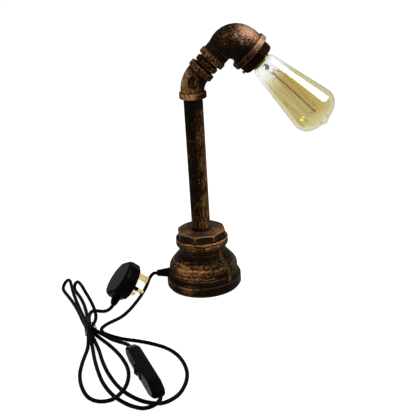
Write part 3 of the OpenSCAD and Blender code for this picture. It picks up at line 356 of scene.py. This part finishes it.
def glass_material(name, tint_top, tint_low, start, end, axis, origin, side, shade_band_tint, solid=0.0):
    """Thin coated glass, in metres along an axis from an origin: clear near the neck and amber from start to end.

    A band to the side is a darker amber, painted shade. A paler band inside the outline and round the dome near the tip
    is a painted reflection, and the outline itself is darkened with painted shade.
    solid is how far the tinted part turns from clear to painted.
    """
    m, nt, bsdf = new_material(name)
    from_cap = vector_math_of(nt, "SUBTRACT", place_of(nt), origin)[0]
    down = dot_of(nt, from_cap, axis)
    cloud = noise_of(nt, 45, (1, 1, 1), (0, 0, 0), 3, 0.5)
    along = math_of(nt, "ADD", down, math_of(nt, "MULTIPLY", cloud, 0.016))
    along = math_of(nt, "DIVIDE", math_of(nt, "SUBTRACT", along, start + 0.008), end - start, True)
    facing_away = node_of(nt, "ShaderNodeLayerWeight", Blend=0.5).outputs["Facing"]
    # Painted shade: the colour darkens on the glass's outline
    edge = ramp_of(nt, facing_away, [(0.0, 1.0), (0.62, 1.0), (0.74, 0.6), (0.86, 0.22)])
    # Painted reflection: the amber pales in a band inside the outline
    painted_rim_sheen = ramp_of(nt, facing_away, [(0.3, 0.0), (0.4, 0.62), (0.6, 0.62), (0.72, 0.2)])
    # Painted shade: a darker amber band to the side of the axis, along the middle of the bulb
    across = math_of(nt, "DIVIDE", math_of(nt, "ADD", dot_of(nt, from_cap, side), 0.002), 0.02, True)
    deep = ramp_of(nt, across, [(0.0, 0.0), (0.12, 1.0), (0.7, 0.8), (0.95, 0.0)])
    deep = math_of(nt, "MULTIPLY", deep, ramp_of(nt, math_of(nt, "DIVIDE", down, 0.1, True),
                                                 [(0.24, 0.0), (0.32, 1.0), (0.85, 0.9), (0.95, 0.0)]))
    # The pale band of painted reflection also runs round the dome near the tip
    painted_rim_sheen = math_of(nt, "MAXIMUM", painted_rim_sheen, ramp_of(nt, math_of(nt, "DIVIDE", down, 0.12, True),
                                                [(0.82, 0.0), (0.9, 0.35), (0.945, 0.4), (0.955, 0.9)]))
    clear = math_of(nt, "SUBTRACT", 1.0, math_of(nt, "MULTIPLY", along, solid))
    painted_rim_sheen = math_of(nt, "MULTIPLY", painted_rim_sheen, clear)
    amber_and_painted_shade = mix_of(nt, deep, mix_of(nt, along, tint_top, tint_low), shade_band_tint)
    tint = vector_math_of(nt, "MULTIPLY", mix_of(nt, painted_rim_sheen, amber_and_painted_shade, tint_top), edge)[0]
    nt.links.new(tint, bsdf.inputs["Base Color"])
    nt.links.new(clear, bsdf.inputs["Transmission Weight"])
    bsdf.inputs["Roughness"].default_value = 0.0
    bsdf.inputs["IOR"].default_value = 1.6
    return m


GOLD = (0.43, 0.205, 0.058)
# Paler, greyer pink of a painted reflection on the top right of the 90 degree elbow
REFLECTION_PINK = (0.28, 0.152, 0.088)
DARK = (0.005, 0.003, 0.0016)
UP, SLANT, OUTWARD = (0, 0, 1), (1, 0, 1), (1, 0, -1)
OCT_TOP = 81
M = {
    "base": rubbed(
        "bronze_base", DARK, GOLD, -0.2, 700, (0.4, 0.4, 1.5), (8, 4, 0), 1.0, 0.3, 0.42,
        zones=[(UP, [(0, 0.42), (11, 0.52), (13, 0.66), (14.5, 0.3), (19, 0.26), (22, 0.5), (25, 0.62), (28, 0.5),
                     (34, 0.62), (42, 0.5), (47, 0.36), (58, 0.4), (62, 0.66), (70.5, 0.8)])],
        # The spots lighten the front left and darken the flanks and the lower front right, partly wear and partly
        # painted light and shade. The small pair by the rib paints its forked foot in copper and the painted shade of a
        # recess beside it.
        spots=[((-24, -40, 33), 34, 0.1), ((-24, -42, 8), 26, 0.04), ((48, -20, 30), 40, -0.03),
               ((30, -42, 8), 26, -0.1), ((-50, -5, 18), 26, -0.12), ((35, -35, 18), 7, 0.3), ((26, -40, 21), 9, -0.3)],
        spec=0.014, lathe=0.06),
    "octagon": rubbed(
        "bronze_octagon", (0.0125, 0.01, 0.0078), GOLD, -0.1, 700, (1, 1, 1), (0, 0, 20), 1.7,
        zones=[(UP, [(OCT_TOP - 14, 0.3), (OCT_TOP - 1.2, 0.3), (OCT_TOP, 0.66)])], rim_r=0.0026, spec=0.014),
    "pipe": rubbed(
        "bronze_pipe", (0.0066, 0.0044, 0.0026), (0.34, 0.155, 0.047), -0.08, 520, (1.7, 1.7, 0.2), (0, 36, 0), 0.6,
        # More copper towards the right side: partly wear, and partly painted light on the side the key lamp lights
        zones=[((1, 0, 0), [(-13, 0.46), (-2, 0.42), (6, 0.62), (13, 0.72)])],
        spots=[((0, -10, 88), 50, 0.08), ((0, 0, 250), 30, -0.06)]),
    "elbow": rubbed(
        "bronze_elbow", DARK, (0.42, 0.202, 0.08), 0.36, 240, (1.2, 1, 0.4), (0, 20, 0), 1.2,
        # The first zone takes the copper away from the left side to the right, a painted shadow on the right side. The
        # second rubs the bead.
        zones=[((1, 0, 0.2), [(38, 0.9), (50, 0.84), (58, 0.54), (66, 0.26), (76, 0.14)]),
               (SLANT, [(213.5, 0.5), (215.5, 0.78), (222.5, 0.78)])],
        soft=2.2, tones=(0.75, 1.3)),
    "hexagon": rubbed("bronze_hexagon", DARK, (0.30, 0.14, 0.05), 0.1, 460, (0.8, 1.4, 1.4), (0, 45, 0), 1.0),
    "reducer": rubbed(
        "bronze_reducer", (0.0055, 0.0036, 0.0023), (0.37, 0.18, 0.068), -0.2, 520, (0.7, 1.1, 1.2), (0, 40, 0), 1.2,
        0.22,
        zones=[(SLANT, [(234, 0.78), (243, 0.78), (245.5, 0.46), (300, 0.46)]),
               (OUTWARD, [(-232, 0.5), (-177, 0.5), (-175, 0.8), (-166, 0.8)])],
        # The spots bring the copper out on the top right, which is wear with a painted highlight over it, and take it
        # away lower down. The colour change near the top right paints that reflection's paler pink.
        spots=[((76, -10, 344), 27, 0.36), ((90, -12, 328), 14, 0.16), ((52, -14, 338), 22, 0.08),
               ((62, -22, 312), 22, -0.1), ((46, 0, 318), 16, -0.08)],
        soft=1.2, painted_sheen_spot=((80, -12, 342), 42, REFLECTION_PINK)),
    "badge": rubbed("bronze_badge", DARK, (0.3, 0.14, 0.05), -0.5, 420, edge=0.25),
    "collar": rubbed("collar_paint", (0.007, 0.002, 0.001), (0.15, 0.028, 0.01), -0.2, 420, edge=0.8, metallic=0.2,
                     rough=0.3, rim_r=0.001),
    "screw": rubbed("blackened_screw", (0.02, 0.012, 0.009), (0.22, 0.09, 0.05), 0.3, 400, edge=0.8),
    "black": plastic("black_moulding", (0.0014, 0.0014, 0.0014), 0.3, 0.012),
    "cord": plastic("cord_pvc", (0.0014, 0.0014, 0.0014), 0.42, 0.012, 0.1, 2400, None),
    "phenolic": plastic("phenolic", (0.03, 0.012, 0.009), 0.3, 0.4),
    "carrier": plastic("fuse_carrier_grey", (0.02, 0.02, 0.021), 0.4, 0.35),
    "vitrite": plastic("vitrite_black", (0.03, 0.03, 0.035), 0.15, 0.6),
    "sleeve": plastic("earth_sleeve", (0.30, 0.42, 0.05), 0.45, 0.4, 0.1, 1600, None),
    "brass": metal("brass_bright", (0.60, 0.43, 0.12), 0.24),
    "cap_brass": metal("brass_cap", (0.11, 0.085, 0.014), 0.24),
    "pin_brass": metal("brass_pins", (0.56, 0.45, 0.16), 0.32, 400, (1, 1, 1), 0.25),
    "steel": metal("steel_zinc", (0.56, 0.56, 0.55), 0.32),
    "tin": metal("tin_solder", (0.68, 0.68, 0.66), 0.3),
    "wire": metal("wire_nickel", (0.30, 0.27, 0.22), 0.4, 600),
    "carbon": plastic("filament_carbon", (0.36, 0.22, 0.06), 0.5, 0.3, 0.2, 4000, None),
    "felt": felt_material(),
}
DRESS = {
    "base_reducer": "base", "octagon_bushing": "octagon", "post_pipe": "pipe", "elbow_45": "elbow",
    "hex_nipple": "hexagon", "elbow_90": "reducer", "holder_collar": "collar", "grub_screw": "screw",
    "base_felt": "felt", "cord_gland": "black", "gland_nut": "black", "earth_screw": "brass", "earth_tag": "tin",
    "earth_core": "sleeve", "lead_stand": "cord", "lead_arm": "cord", "lead_head": "cord", "cord_lamp_lead": "cord",
    "cord_hank": "cord", "cord_plug_lead": "cord", "cord_tie": "black", "switch_base": "black",
    "switch_cover": "black", "switch_pin": "steel", "switch_screws": "steel", "switch_terminals": "brass",
    "switch_rocker": "black", "plug_body": "black", "plug_grip": "black", "plug_earth_pin": "pin_brass",
    "plug_line_pins": "pin_brass", "plug_sleeves": "black", "fuse_carrier": "carrier", "fuse": "steel",
    "holder_body": "phenolic", "holder_shell": "brass", "holder_contact": "brass", "holder_terminals": "brass",
    "bulb_cap": "cap_brass", "cap_insulator": "vitrite", "cap_contact": "tin", "bulb_wires": "wire",
    "filament": "carbon",
}

# The bulb's own frame, from the CAD's sizes in mm: +Z from the cap's rim to the tip
POST_TOP, SOCKET_L, SEAT = 272.6, 11.5, 0.3
ELBOW45_LEG, HEX_GAP, HEX_T = 22, 2.3, 8
ELBOW90_IN, ELBOW90_OUT, COLLAR_T, CAP_SHOW = 41, 33.5, 12.5, 4
S = math.sqrt(0.5)
slant_z, out_z = Vector((S, 0, S)), Vector((S, 0, -S))
bend_z = (POST_TOP - SOCKET_L + SEAT) + ELBOW45_LEG
corner_t = ELBOW45_LEG + 2 * HEX_GAP + HEX_T + ELBOW90_IN
corner = Vector((0, 0, bend_z)) + slant_z * corner_t
glass_at = (corner + out_z * (ELBOW90_OUT + COLLAR_T + CAP_SHOW)) * MM
bulb = basis(glass_at, -slant_z, Vector((0, 1, 0)), out_z)
bulb_lines = {"axis": tuple(out_z), "origin": tuple(glass_at), "side": tuple(slant_z)}
STEM_BROWN = (0.45, 0.2, 0.02)
# Colours: clear at the neck, amber, and the darker amber of the painted shade band
M["glass"] = glass_material("glass_amber", (0.90, 0.91, 0.90), (0.62, 0.555, 0.29), 0.014, 0.040,
                            shade_band_tint=(0.62, 0.50, 0.19), **bulb_lines)
M["stem"] = glass_material("glass_stem", (0.93, 0.92, 0.88), STEM_BROWN, 0.018, 0.022,
                           shade_band_tint=STEM_BROWN, solid=1.0, **bulb_lines)
DRESS["bulb_glass"], DRESS["bulb_stem"] = "glass", "stem"


def paint(ob, name):
    ob.data.materials.clear()
    ob.data.materials.append(M[name])
    return ob


for name, ob in nodes.items():
    paint(ob, DRESS[name])


# ---------------------------------------------------------------- cords
def spline(points, n):
    """The same centripetal curve as the CAD route, in mm, with n steps a span, kept from sinking into the table."""
    p = [Vector(q) for q in points]
    q = [2 * p[0] - p[1]] + p + [2 * p[-1] - p[-2]]
    out = []
    for i in range(1, len(q) - 2):
        a, b, c, d = q[i - 1:i + 3]
        ta, tb, tc = (max(0.01, math.sqrt((v - u).length)) for u, v in ((a, b), (b, c), (c, d)))
        m = tb * ((b - a) / ta - (c - a) / (ta + tb) + (c - b) / tb)
        k = tb * ((c - b) / tb - (d - b) / (tb + tc) + (d - c) / tc)
        for j in range(n):
            t = j / n
            h = 1 - t
            out.append(h ** 3 * b + 3 * h * h * t * (b + m / 3) + 3 * h * t * t * (c - k / 3) + t ** 3 * c)
    return [Vector((v.x, v.y, max(v.z, CORD_D / 2))) for v in out + [p[-1]]]


# The points repeat the routes of part.scad, in mm
CORD_D = 4.6
Z0 = CORD_D / 2                 # a strand on the table
Z1 = Z0 + CORD_D + 0.6          # a strand on another
Z2 = Z0 + 2.2 * CORD_D          # a strand in the dip over two pairs
LAMP = [(-65, 0, 18), (-69.6, 0, 17.6), (-75, -3.5, 13.5), (-79, -11, 7), (-82.5, -21, 3.4), (-87.5, -39, Z0),
        (-93, -57, Z0), (-99.5, -75, Z0), (-107, -90, Z0), (-113.5, -98, Z0), (-117, -101.2, Z0)]
HANK = [(-117, -101.2, Z0), (-120.5, -104.4, Z0), (-127, -111.5, Z0), (-131, -120, Z0), (-129.5, -128.5, Z0),
        (-123, -135.5, Z0), (-113, -143, Z0), (-100, -150, Z0), (-84, -156, Z0), (-67, -164, Z0),
        (-51, -174.5, Z0), (-38, -189, Z0), (-28.5, -209, Z0), (-23.5, -234, Z0), (-26, -258, Z0),
        (-34.5, -277.5, Z0), (-49, -288.5, Z0), (-66, -285.5, Z0), (-82, -274, Z0), (-97, -256, Z0),
        (-111.5, -228, Z0), (-121.5, -200, Z0), (-129.5, -171, Z0), (-137, -150, 4), (-142.5, -138.5, 8),
        (-146.7, -130, Z1 + 1.4), (-150.3, -116, Z1 + 0.4), (-155, -100, Z1), (-161, -83, Z1),
        (-166.5, -67, 8.7), (-171.5, -53, 10.5), (-176, -39, 12.2), (-180, -25, 13.8), (-183.5, -11, 14.9),
        (-186.7, -1.5, 14.9), (-190.3, 4, 13), (-194, 6, 9), (-196.9, 4, 4.7), (-196.6, -2.5, 2.6),
        (-193.8, -10, Z0), (-187, -24, Z0), (-178.5, -42, Z0), (-170.5, -61, Z0), (-163.5, -80, Z0),
        (-157.5, -98, Z0), (-151.3, -115, Z0 + 0.3), (-147, -130.5, Z0 + 1.4), (-144.4, -149, Z0),
        (-143.3, -168, Z0), (-145.5, -200, Z0), (-145, -225, Z0), (-139.5, -250, Z0), (-129.5, -271, 2.6),
        (-116, -283, 5), (-102.5, -284.5, 7.6), (-92.5, -270, 7.8), (-89, -246, 4.6), (-91, -219, Z0),
        (-100, -193, Z0), (-112.5, -170, Z0), (-124, -153, Z0), (-134, -139.5, Z0 + 0.3),
        (-141.3, -129, Z0 + 1.4), (-145.8, -115, Z0 + 0.3), (-150.3, -99, Z0), (-153.5, -85, Z0),
        (-157.5, -68, Z0), (-163, -48, Z0), (-169, -31.5, Z0), (-175.8, -16, Z0), (-179, -9, 2.6),
        (-180.6, -4, 4.9), (-179.6, -1.2, 8.8), (-176.6, -2.3, 12.4), (-173, -8, 14.3), (-167, -21, 14.6),
        (-160.7, -36, 13), (-153.5, -52, 10.4), (-147.7, -66, 7.2), (-144, -78, 5), (-141.3, -92, 4.5),
        (-140.6, -106, 5.9), (-141.4, -118, 8), (-141, -127.5, Z1 + 1.4), (-137.3, -134.2, 9),
        (-131.5, -138.8, 7.2), (-124.5, -143, 5), (-117, -149.5, 3.8), (-109.5, -157, 4.6), (-102, -165.5, 6.8),
        (-96, -173, 9)]
SWITCH_TURN, SWITCH_L = math.radians(-69.7), 106
SWITCH_DIR = Vector((math.cos(SWITCH_TURN), math.sin(SWITCH_TURN), 0))
SWITCH_NEAR = Vector((-89.2, -184.8, 10))
SWITCH_FAR = SWITCH_NEAR + SWITCH_L * SWITCH_DIR
HANK += [tuple(SWITCH_NEAR - CORD_D * SWITCH_DIR), tuple(SWITCH_NEAR)]
# The plug's own frame: Z along the pins, Y towards the earth pin, origin on the middle of its face
plug_at = Vector((-99.3, -35.2, 24.65))
plug_x = Vector((-0.555, 0.707, -0.432)).normalized()
plug_z = plug_x.cross(Vector((0.382, 0.688, 0.604))).normalized()
plug_y = plug_z.cross(plug_x)
PLUG_OUT, GRIP_L, PLUG_DEPTH = 29, 11, 20
grip_end = plug_at - (PLUG_OUT + GRIP_L) * plug_y - 0.45 * PLUG_DEPTH * plug_z
PLUG = [tuple(SWITCH_FAR), tuple(SWITCH_FAR + CORD_D * SWITCH_DIR), (-52, -294.5, 9.2), (-58.5, -299.8, 7.4),
        (-68, -300, 5), (-78.5, -293.5, 3), (-88, -286, Z0), (-101.5, -271.5, Z0), (-115, -248, Z0),
        (-124.5, -221, Z0), (-132.5, -190, Z0), (-137.2, -167, 3.2), (-140.8, -151, 9), (-143, -141, 13),
        (-144.1, -130, Z2 + 1.6), (-146, -117, Z2 + 0.6), (-147.5, -105, 12.2), (-147, -94, 11.7),
        (-143.5, -87, 10.6), (-138.3, -83.3, 7.8), (-133.5, -79.2, 4.9), (-129, -74.4, 3), (-125.1, -69.3, 3.2),
        tuple(grip_end - 1.8 * plug_y), tuple(grip_end)]


def cord_curve(name, path):
    ob = poly_curve(name, [[q * MM for q in path]], CORD_D / 2 * MM, 5, True)
    paint(ob, "cord")
    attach(ob, "stand")
    return ob


SPAN_STEPS = 6
lamp_path = spline(LAMP + HANK[1:], SPAN_STEPS)
plug_path = spline(PLUG, SPAN_STEPS)
lamp_cord = cord_curve("cord_from_lamp", lamp_path)
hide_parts("cord_lamp_lead", "cord_hank")
plug_cord = cord_curve("cord_to_plug", plug_path)
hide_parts("cord_plug_lead")

# ---------------------------------------------------------------- felt under the base
FELT_R, FELT_LOW, FELT_TOP = 49.5, 0.02, 1.48
felt = spun("felt_disc", [(0, FELT_LOW), (FELT_R * 0.5, FELT_LOW), (FELT_R - 1.2, FELT_LOW), (FELT_R - 0.3, 0.25),
                          (FELT_R, 0.75), (FELT_R - 0.3, 1.25), (FELT_R - 0.9, FELT_TOP), (FELT_R * 0.5, FELT_TOP),
                          (0, FELT_TOP)], Matrix.Identity(4), 144, False)
for v in felt.data.vertices:        # the cut edge isn't quite even
    if v.co.xy.length > (FELT_R - 1.5) * MM:
        v.co.xy *= 1 + 0.004 * noise.noise(v.co * 900)
paint(felt, "felt")
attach(felt, "stand")
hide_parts("base_felt")

# ---------------------------------------------------------------- bulb
def bez(p, n):
    """Points of a cubic curve from its four control points."""
    out = []
    for i in range(n + 1):
        t = i / n
        h = 1 - t
        out.append(tuple(h ** 3 * a + 3 * t * h ** 2 * b + 3 * t * t * h * c + t ** 3 * d for a, b, c, d in zip(*p)))
    return out


BULB_R, BULB_L, CAP_R, GLASS_T, TIP_L = 32, 119, 13.1, 0.8, 6.2
WIDEST = BULB_L * 0.755
DOME = BULB_L - TIP_L           # where the dome ends and the tip begins


def glass_line(g):
    """The glass's outline from the cap to the tip, g mm inside its outer face."""
    neck = bez([(CAP_R - 0.4 - g, 0.4), (CAP_R + 3.6 - g, 2.5), (CAP_R + 4 - g, 6), (BULB_R * 0.59 - g, 16)], 14)
    cone = bez([(BULB_R * 0.62 - g, 22), (BULB_R * 0.75 - g, 46), (BULB_R * 0.9 - g, 70), (BULB_R - g, WIDEST)], 20)
    dome = bez([(BULB_R - g, WIDEST), (BULB_R * 1.03 - g, WIDEST + 14 - g), (BULB_R * 0.66, DOME - 1.3 - g),
                (8, DOME - g)], 28)
    return [(CAP_R - 0.9 - g, -8), (CAP_R - 0.9 - g, 0.1)] + neck + cone[:-1] + dome


tip = [(6.9, DOME + 0.6), (6.0, DOME + 1.5), (5.35, BULB_L - 3.9), (5.1, BULB_L - 2.6), (4.9, BULB_L - 1.5),
       (4.3, BULB_L - 0.7), (3.2, BULB_L - 0.2), (1.6, BULB_L - 0.02), (0, BULB_L)]
closing = [(0, DOME - GLASS_T), (4, DOME - GLASS_T)]
glass = spun("glass_envelope", glass_line(0) + tip + closing + glass_line(GLASS_T)[::-1], bulb, 128)
sharpen(glass, 50)
paint(glass, "glass")
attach(glass, "bulb")
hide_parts("bulb_glass")

# Filament: eight thin coiled legs between the hooks
LEGS, LEG_STEPS, COIL_STEPS = 8, 240, 4      # legs, points along each, points in each turn of its coil
COIL_R, FILAMENT_R, HOOK_GAP = 0.14, 0.11, 0.5
HOOK_TOP, HOOK_LOW, CAGE_TOP, CAGE_LOW = 27, BULB_L * 0.785, 8.5, 12


def hook(k):
    a = math.radians(200 + k * 40)
    rad, z = (CAGE_TOP, HOOK_TOP) if k % 2 == 0 else (CAGE_LOW, HOOK_LOW)
    return Vector((rad * math.cos(a), rad * math.sin(a), z))


def coiled_leg(a, b):
    """Path in metres of a coil from hook a to hook b."""
    d = (b - a).normalized()
    side = d.cross(Vector((0.3, 0.8, 0.1))).normalized()
    lift = d.cross(side)
    leg = []
    for i in range(LEG_STEPS + 1):
        w = 2 * math.pi * i / COIL_STEPS
        q = a + d * HOOK_GAP + (b - a - d) * (i / LEG_STEPS) + (side * math.cos(w) + lift * math.sin(w)) * COIL_R
        leg.append(bulb @ (q * MM))
    return leg


legs_ob = poly_curve("filament_legs", [coiled_leg(hook(k), hook(k + 1)) for k in range(LEGS)], FILAMENT_R * MM, 2)
paint(legs_ob, "carbon")
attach(legs_ob, "bulb")
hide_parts("filament")

# Getter smear and dumet seals on the stem's pinch
seal = spun("stem_seals", [(0.0, 5.0), (1.6, 5.2), (2.6, 6.4), (2.2, 8.2), (2.9, 9.4), (2.4, 11.2), (1.4, 12.2),
                           (0.0, 12.5)], bulb, 32, False)
for v in seal.data.vertices:        # pinched flat, and uneven
    q = bulb.inverted() @ v.co
    q.x *= 0.6 + 0.5 * noise.noise(q * 700)
    v.co = bulb @ q
M["seal"] = plastic("seal_dark", (0.02, 0.016, 0.012), 0.4, 0.3, 0.3, 2000, None)
paint(seal, "seal")
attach(seal, "bulb")

# ---------------------------------------------------------------- tie round the hank
TIE_TURN = math.radians(12)
TIE = basis(Vector((-143.4, -129.7, 0)) * MM, Vector((math.cos(TIE_TURN), math.sin(TIE_TURN), 0)), Vector((0, 0, 1)),
            Vector((math.sin(TIE_TURN), -math.cos(TIE_TURN), 0)))
TIE_R, TIE_TURNS, TIE_SPAN, TIE_STEPS = 0.55, 6, 6, 4   # wire's radius, turns, their reach, steps a span
TIE_FLOOR = 0.00056                          # lowest that the wire's middle may lie, in metres
half_w = (2 * CORD_D + 3) / 2
tie_h = Z2 + CORD_D / 2 + 2.4
proud = 0.75                                 # how far the wire's middle stands off the strands
right_side = [(half_w + proud, tie_h * 0.32), (half_w + proud, tie_h * 0.6), (half_w * 0.48 + proud, tie_h + 0.2)]
ring = [(-half_w - proud, 1.4), (-half_w + 0.9, 0.62), (0, 0.6), (half_w - 0.9, 0.62), (half_w + proud, 1.4)] \
    + right_side + [(0, tie_h + proud)] + [(-x, y) for x, y in right_side[::-1]]
wound = []
for i in range(TIE_TURNS * len(ring) + 1):
    x, y = ring[i % len(ring)]
    along = TIE_SPAN * (i / (TIE_TURNS * len(ring)) - 0.5) + 0.3 * math.sin(i * 1.7)
    wound.append((x, y, along))
# Known fault: the floor in spline, meant for cords, acts along the hank here. Nearly all the wire lies in one plane,
# CORD_D / 2 off the middle, and its turns run through each other
tie_path = [TIE @ (q * MM) for q in spline(wound, TIE_STEPS)]
tie_path = [Vector((q.x, q.y, max(q.z, TIE_FLOOR))) for q in tie_path]
wrap_ob = poly_curve("tie_wrap", [tie_path], TIE_R * MM, 4, True)
paint(wrap_ob, "cord")
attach(wrap_ob, "stand")
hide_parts("cord_tie")

# ---------------------------------------------------------------- cast boss ring on the 45 degree elbow
BOSS, BODY_R = Vector((1.2, -15.4, 283.4)), 15.5
BOSS_STEPS, BOSS_SIDES = 48, 10


def boss_ring(name, radius, thick, tall=1.0):
    """Raised ring in mm that follows the elbow's round side; tall is its height over its width."""
    verts, faces = [], []
    for i in range(BOSS_STEPS):
        a = 2 * math.pi * i / BOSS_STEPS
        for j in range(BOSS_SIDES):
            b = 2 * math.pi * j / BOSS_SIDES
            out = radius + thick * math.cos(b)
            x, z = out * math.cos(a), out * math.sin(a) * tall
            y = thick * 0.7 * math.sin(b) + (x * x) / (2 * BODY_R) * 0.9
            verts.append((BOSS + Vector((x, y, z))) * MM)
            here, on = i * BOSS_SIDES, (i + 1) % BOSS_STEPS * BOSS_SIDES
            up_j = (j + 1) % BOSS_SIDES
            faces.append([here + j, on + j, on + up_j, here + up_j])
    ob = mesh_object(name, verts, faces)
    paint(ob, "badge")
    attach(ob, "arm")
    return ob


boss_ring("boss_ring", 5.4, 0.95, 1.12)
boss_ring("boss_dot", 1.5, 0.8)

# ---------------------------------------------------------------- floor, lamps and world
FLOOR_HALF, FLOOR_DROP, FLOOR_GLOW = 30, 0.0002, 0.92
WORLD_LIGHT = 0.2               # what falls on the object; what is seen adds up to 1, plain white


def sheet(name, half_x, half_y):
    """Flat rectangle about its own origin, in metres."""
    corners = [(-half_x, -half_y, 0), (half_x, -half_y, 0), (half_x, half_y, 0), (-half_x, half_y, 0)]
    return mesh_object(name, corners, [(0, 1, 2, 3)], False)


floor = sheet("floor", FLOOR_HALF, FLOOR_HALF)
floor.location.z = -FLOOR_DROP
m, nt, bsdf = new_material("floor_white")
bsdf.inputs["Base Color"].default_value = (0.5, 0.5, 0.5, 1)
bsdf.inputs["Roughness"].default_value = 0.9
bsdf.inputs["Specular IOR Level"].default_value = 0.0
nt.links.new(math_of(nt, "MULTIPLY", seen_of(nt), FLOOR_GLOW), bsdf.inputs["Emission Strength"])
bsdf.inputs["Emission Color"].default_value = (1, 1, 1, 1)
floor.data.materials.append(m)

world = bpy.data.worlds.new("studio")
world.use_nodes = True
scene.world = world
nt = world.node_tree
strength = math_of(nt, "ADD", WORLD_LIGHT, math_of(nt, "MULTIPLY", seen_of(nt), 1 - WORLD_LIGHT))
nt.links.new(strength, nt.nodes["Background"].inputs["Strength"])
nt.nodes["Background"].inputs["Color"].default_value = (1, 1, 1, 1)


def aim(ob, at, target):
    """Puts a lamp or its like in a place, in metres, facing a target."""
    ob.location = at
    ob.rotation_euler = (Vector(target) - Vector(at)).to_track_quat("-Z", "Y").to_euler()


def lamp(name, at, target, size, power):
    light = bpy.data.lights.new(name, "AREA")
    light.shape, light.size, light.size_y, light.energy = "RECTANGLE", size[0], size[1], power
    aim(link(name, light), at, target)


lamp("key", (0.85, -0.25, 1.25), (0.05, 0, 0.25), (0.7, 0.6), 15)
lamp("fill", (-0.7, -1.0, 0.75), (0, 0, 0.1), (0.5, 0.5), 6)

# A softbox that only reflections see, bright in its middle and dark at its edges
SOFT_X, SOFT_Y, SOFT_GLOW = 0.45, 0.5, 18.0
softbox = sheet("softbox", SOFT_X, SOFT_Y)
aim(softbox, (0.87, -0.05, 1.22), (0.1, 0, 0.3))
softbox.visible_camera = softbox.visible_diffuse = softbox.visible_shadow = softbox.visible_transmission = False
m, nt, bsdf = new_material("softbox_white")
bsdf.inputs["Base Color"].default_value = (0, 0, 0, 1)
bsdf.inputs["Emission Color"].default_value = (1, 1, 1, 1)
off = node_of(nt, "ShaderNodeSeparateXYZ")
nt.links.new(vector_math_of(nt, "ABSOLUTE", place_of(nt))[0], off.inputs[0])
across, upright = (math_of(nt, "DIVIDE", off.outputs[k], half) for k, half in (("X", SOFT_X), ("Y", SOFT_Y)))
reach = math_of(nt, "MAXIMUM", across, upright)
fade = ramp_of(nt, reach, [(0.35, 1.0), (0.7, 0.55), (1.0, 0.0)])
nt.links.new(math_of(nt, "MULTIPLY", fade, SOFT_GLOW), bsdf.inputs["Emission Strength"])
softbox.data.materials.append(m)
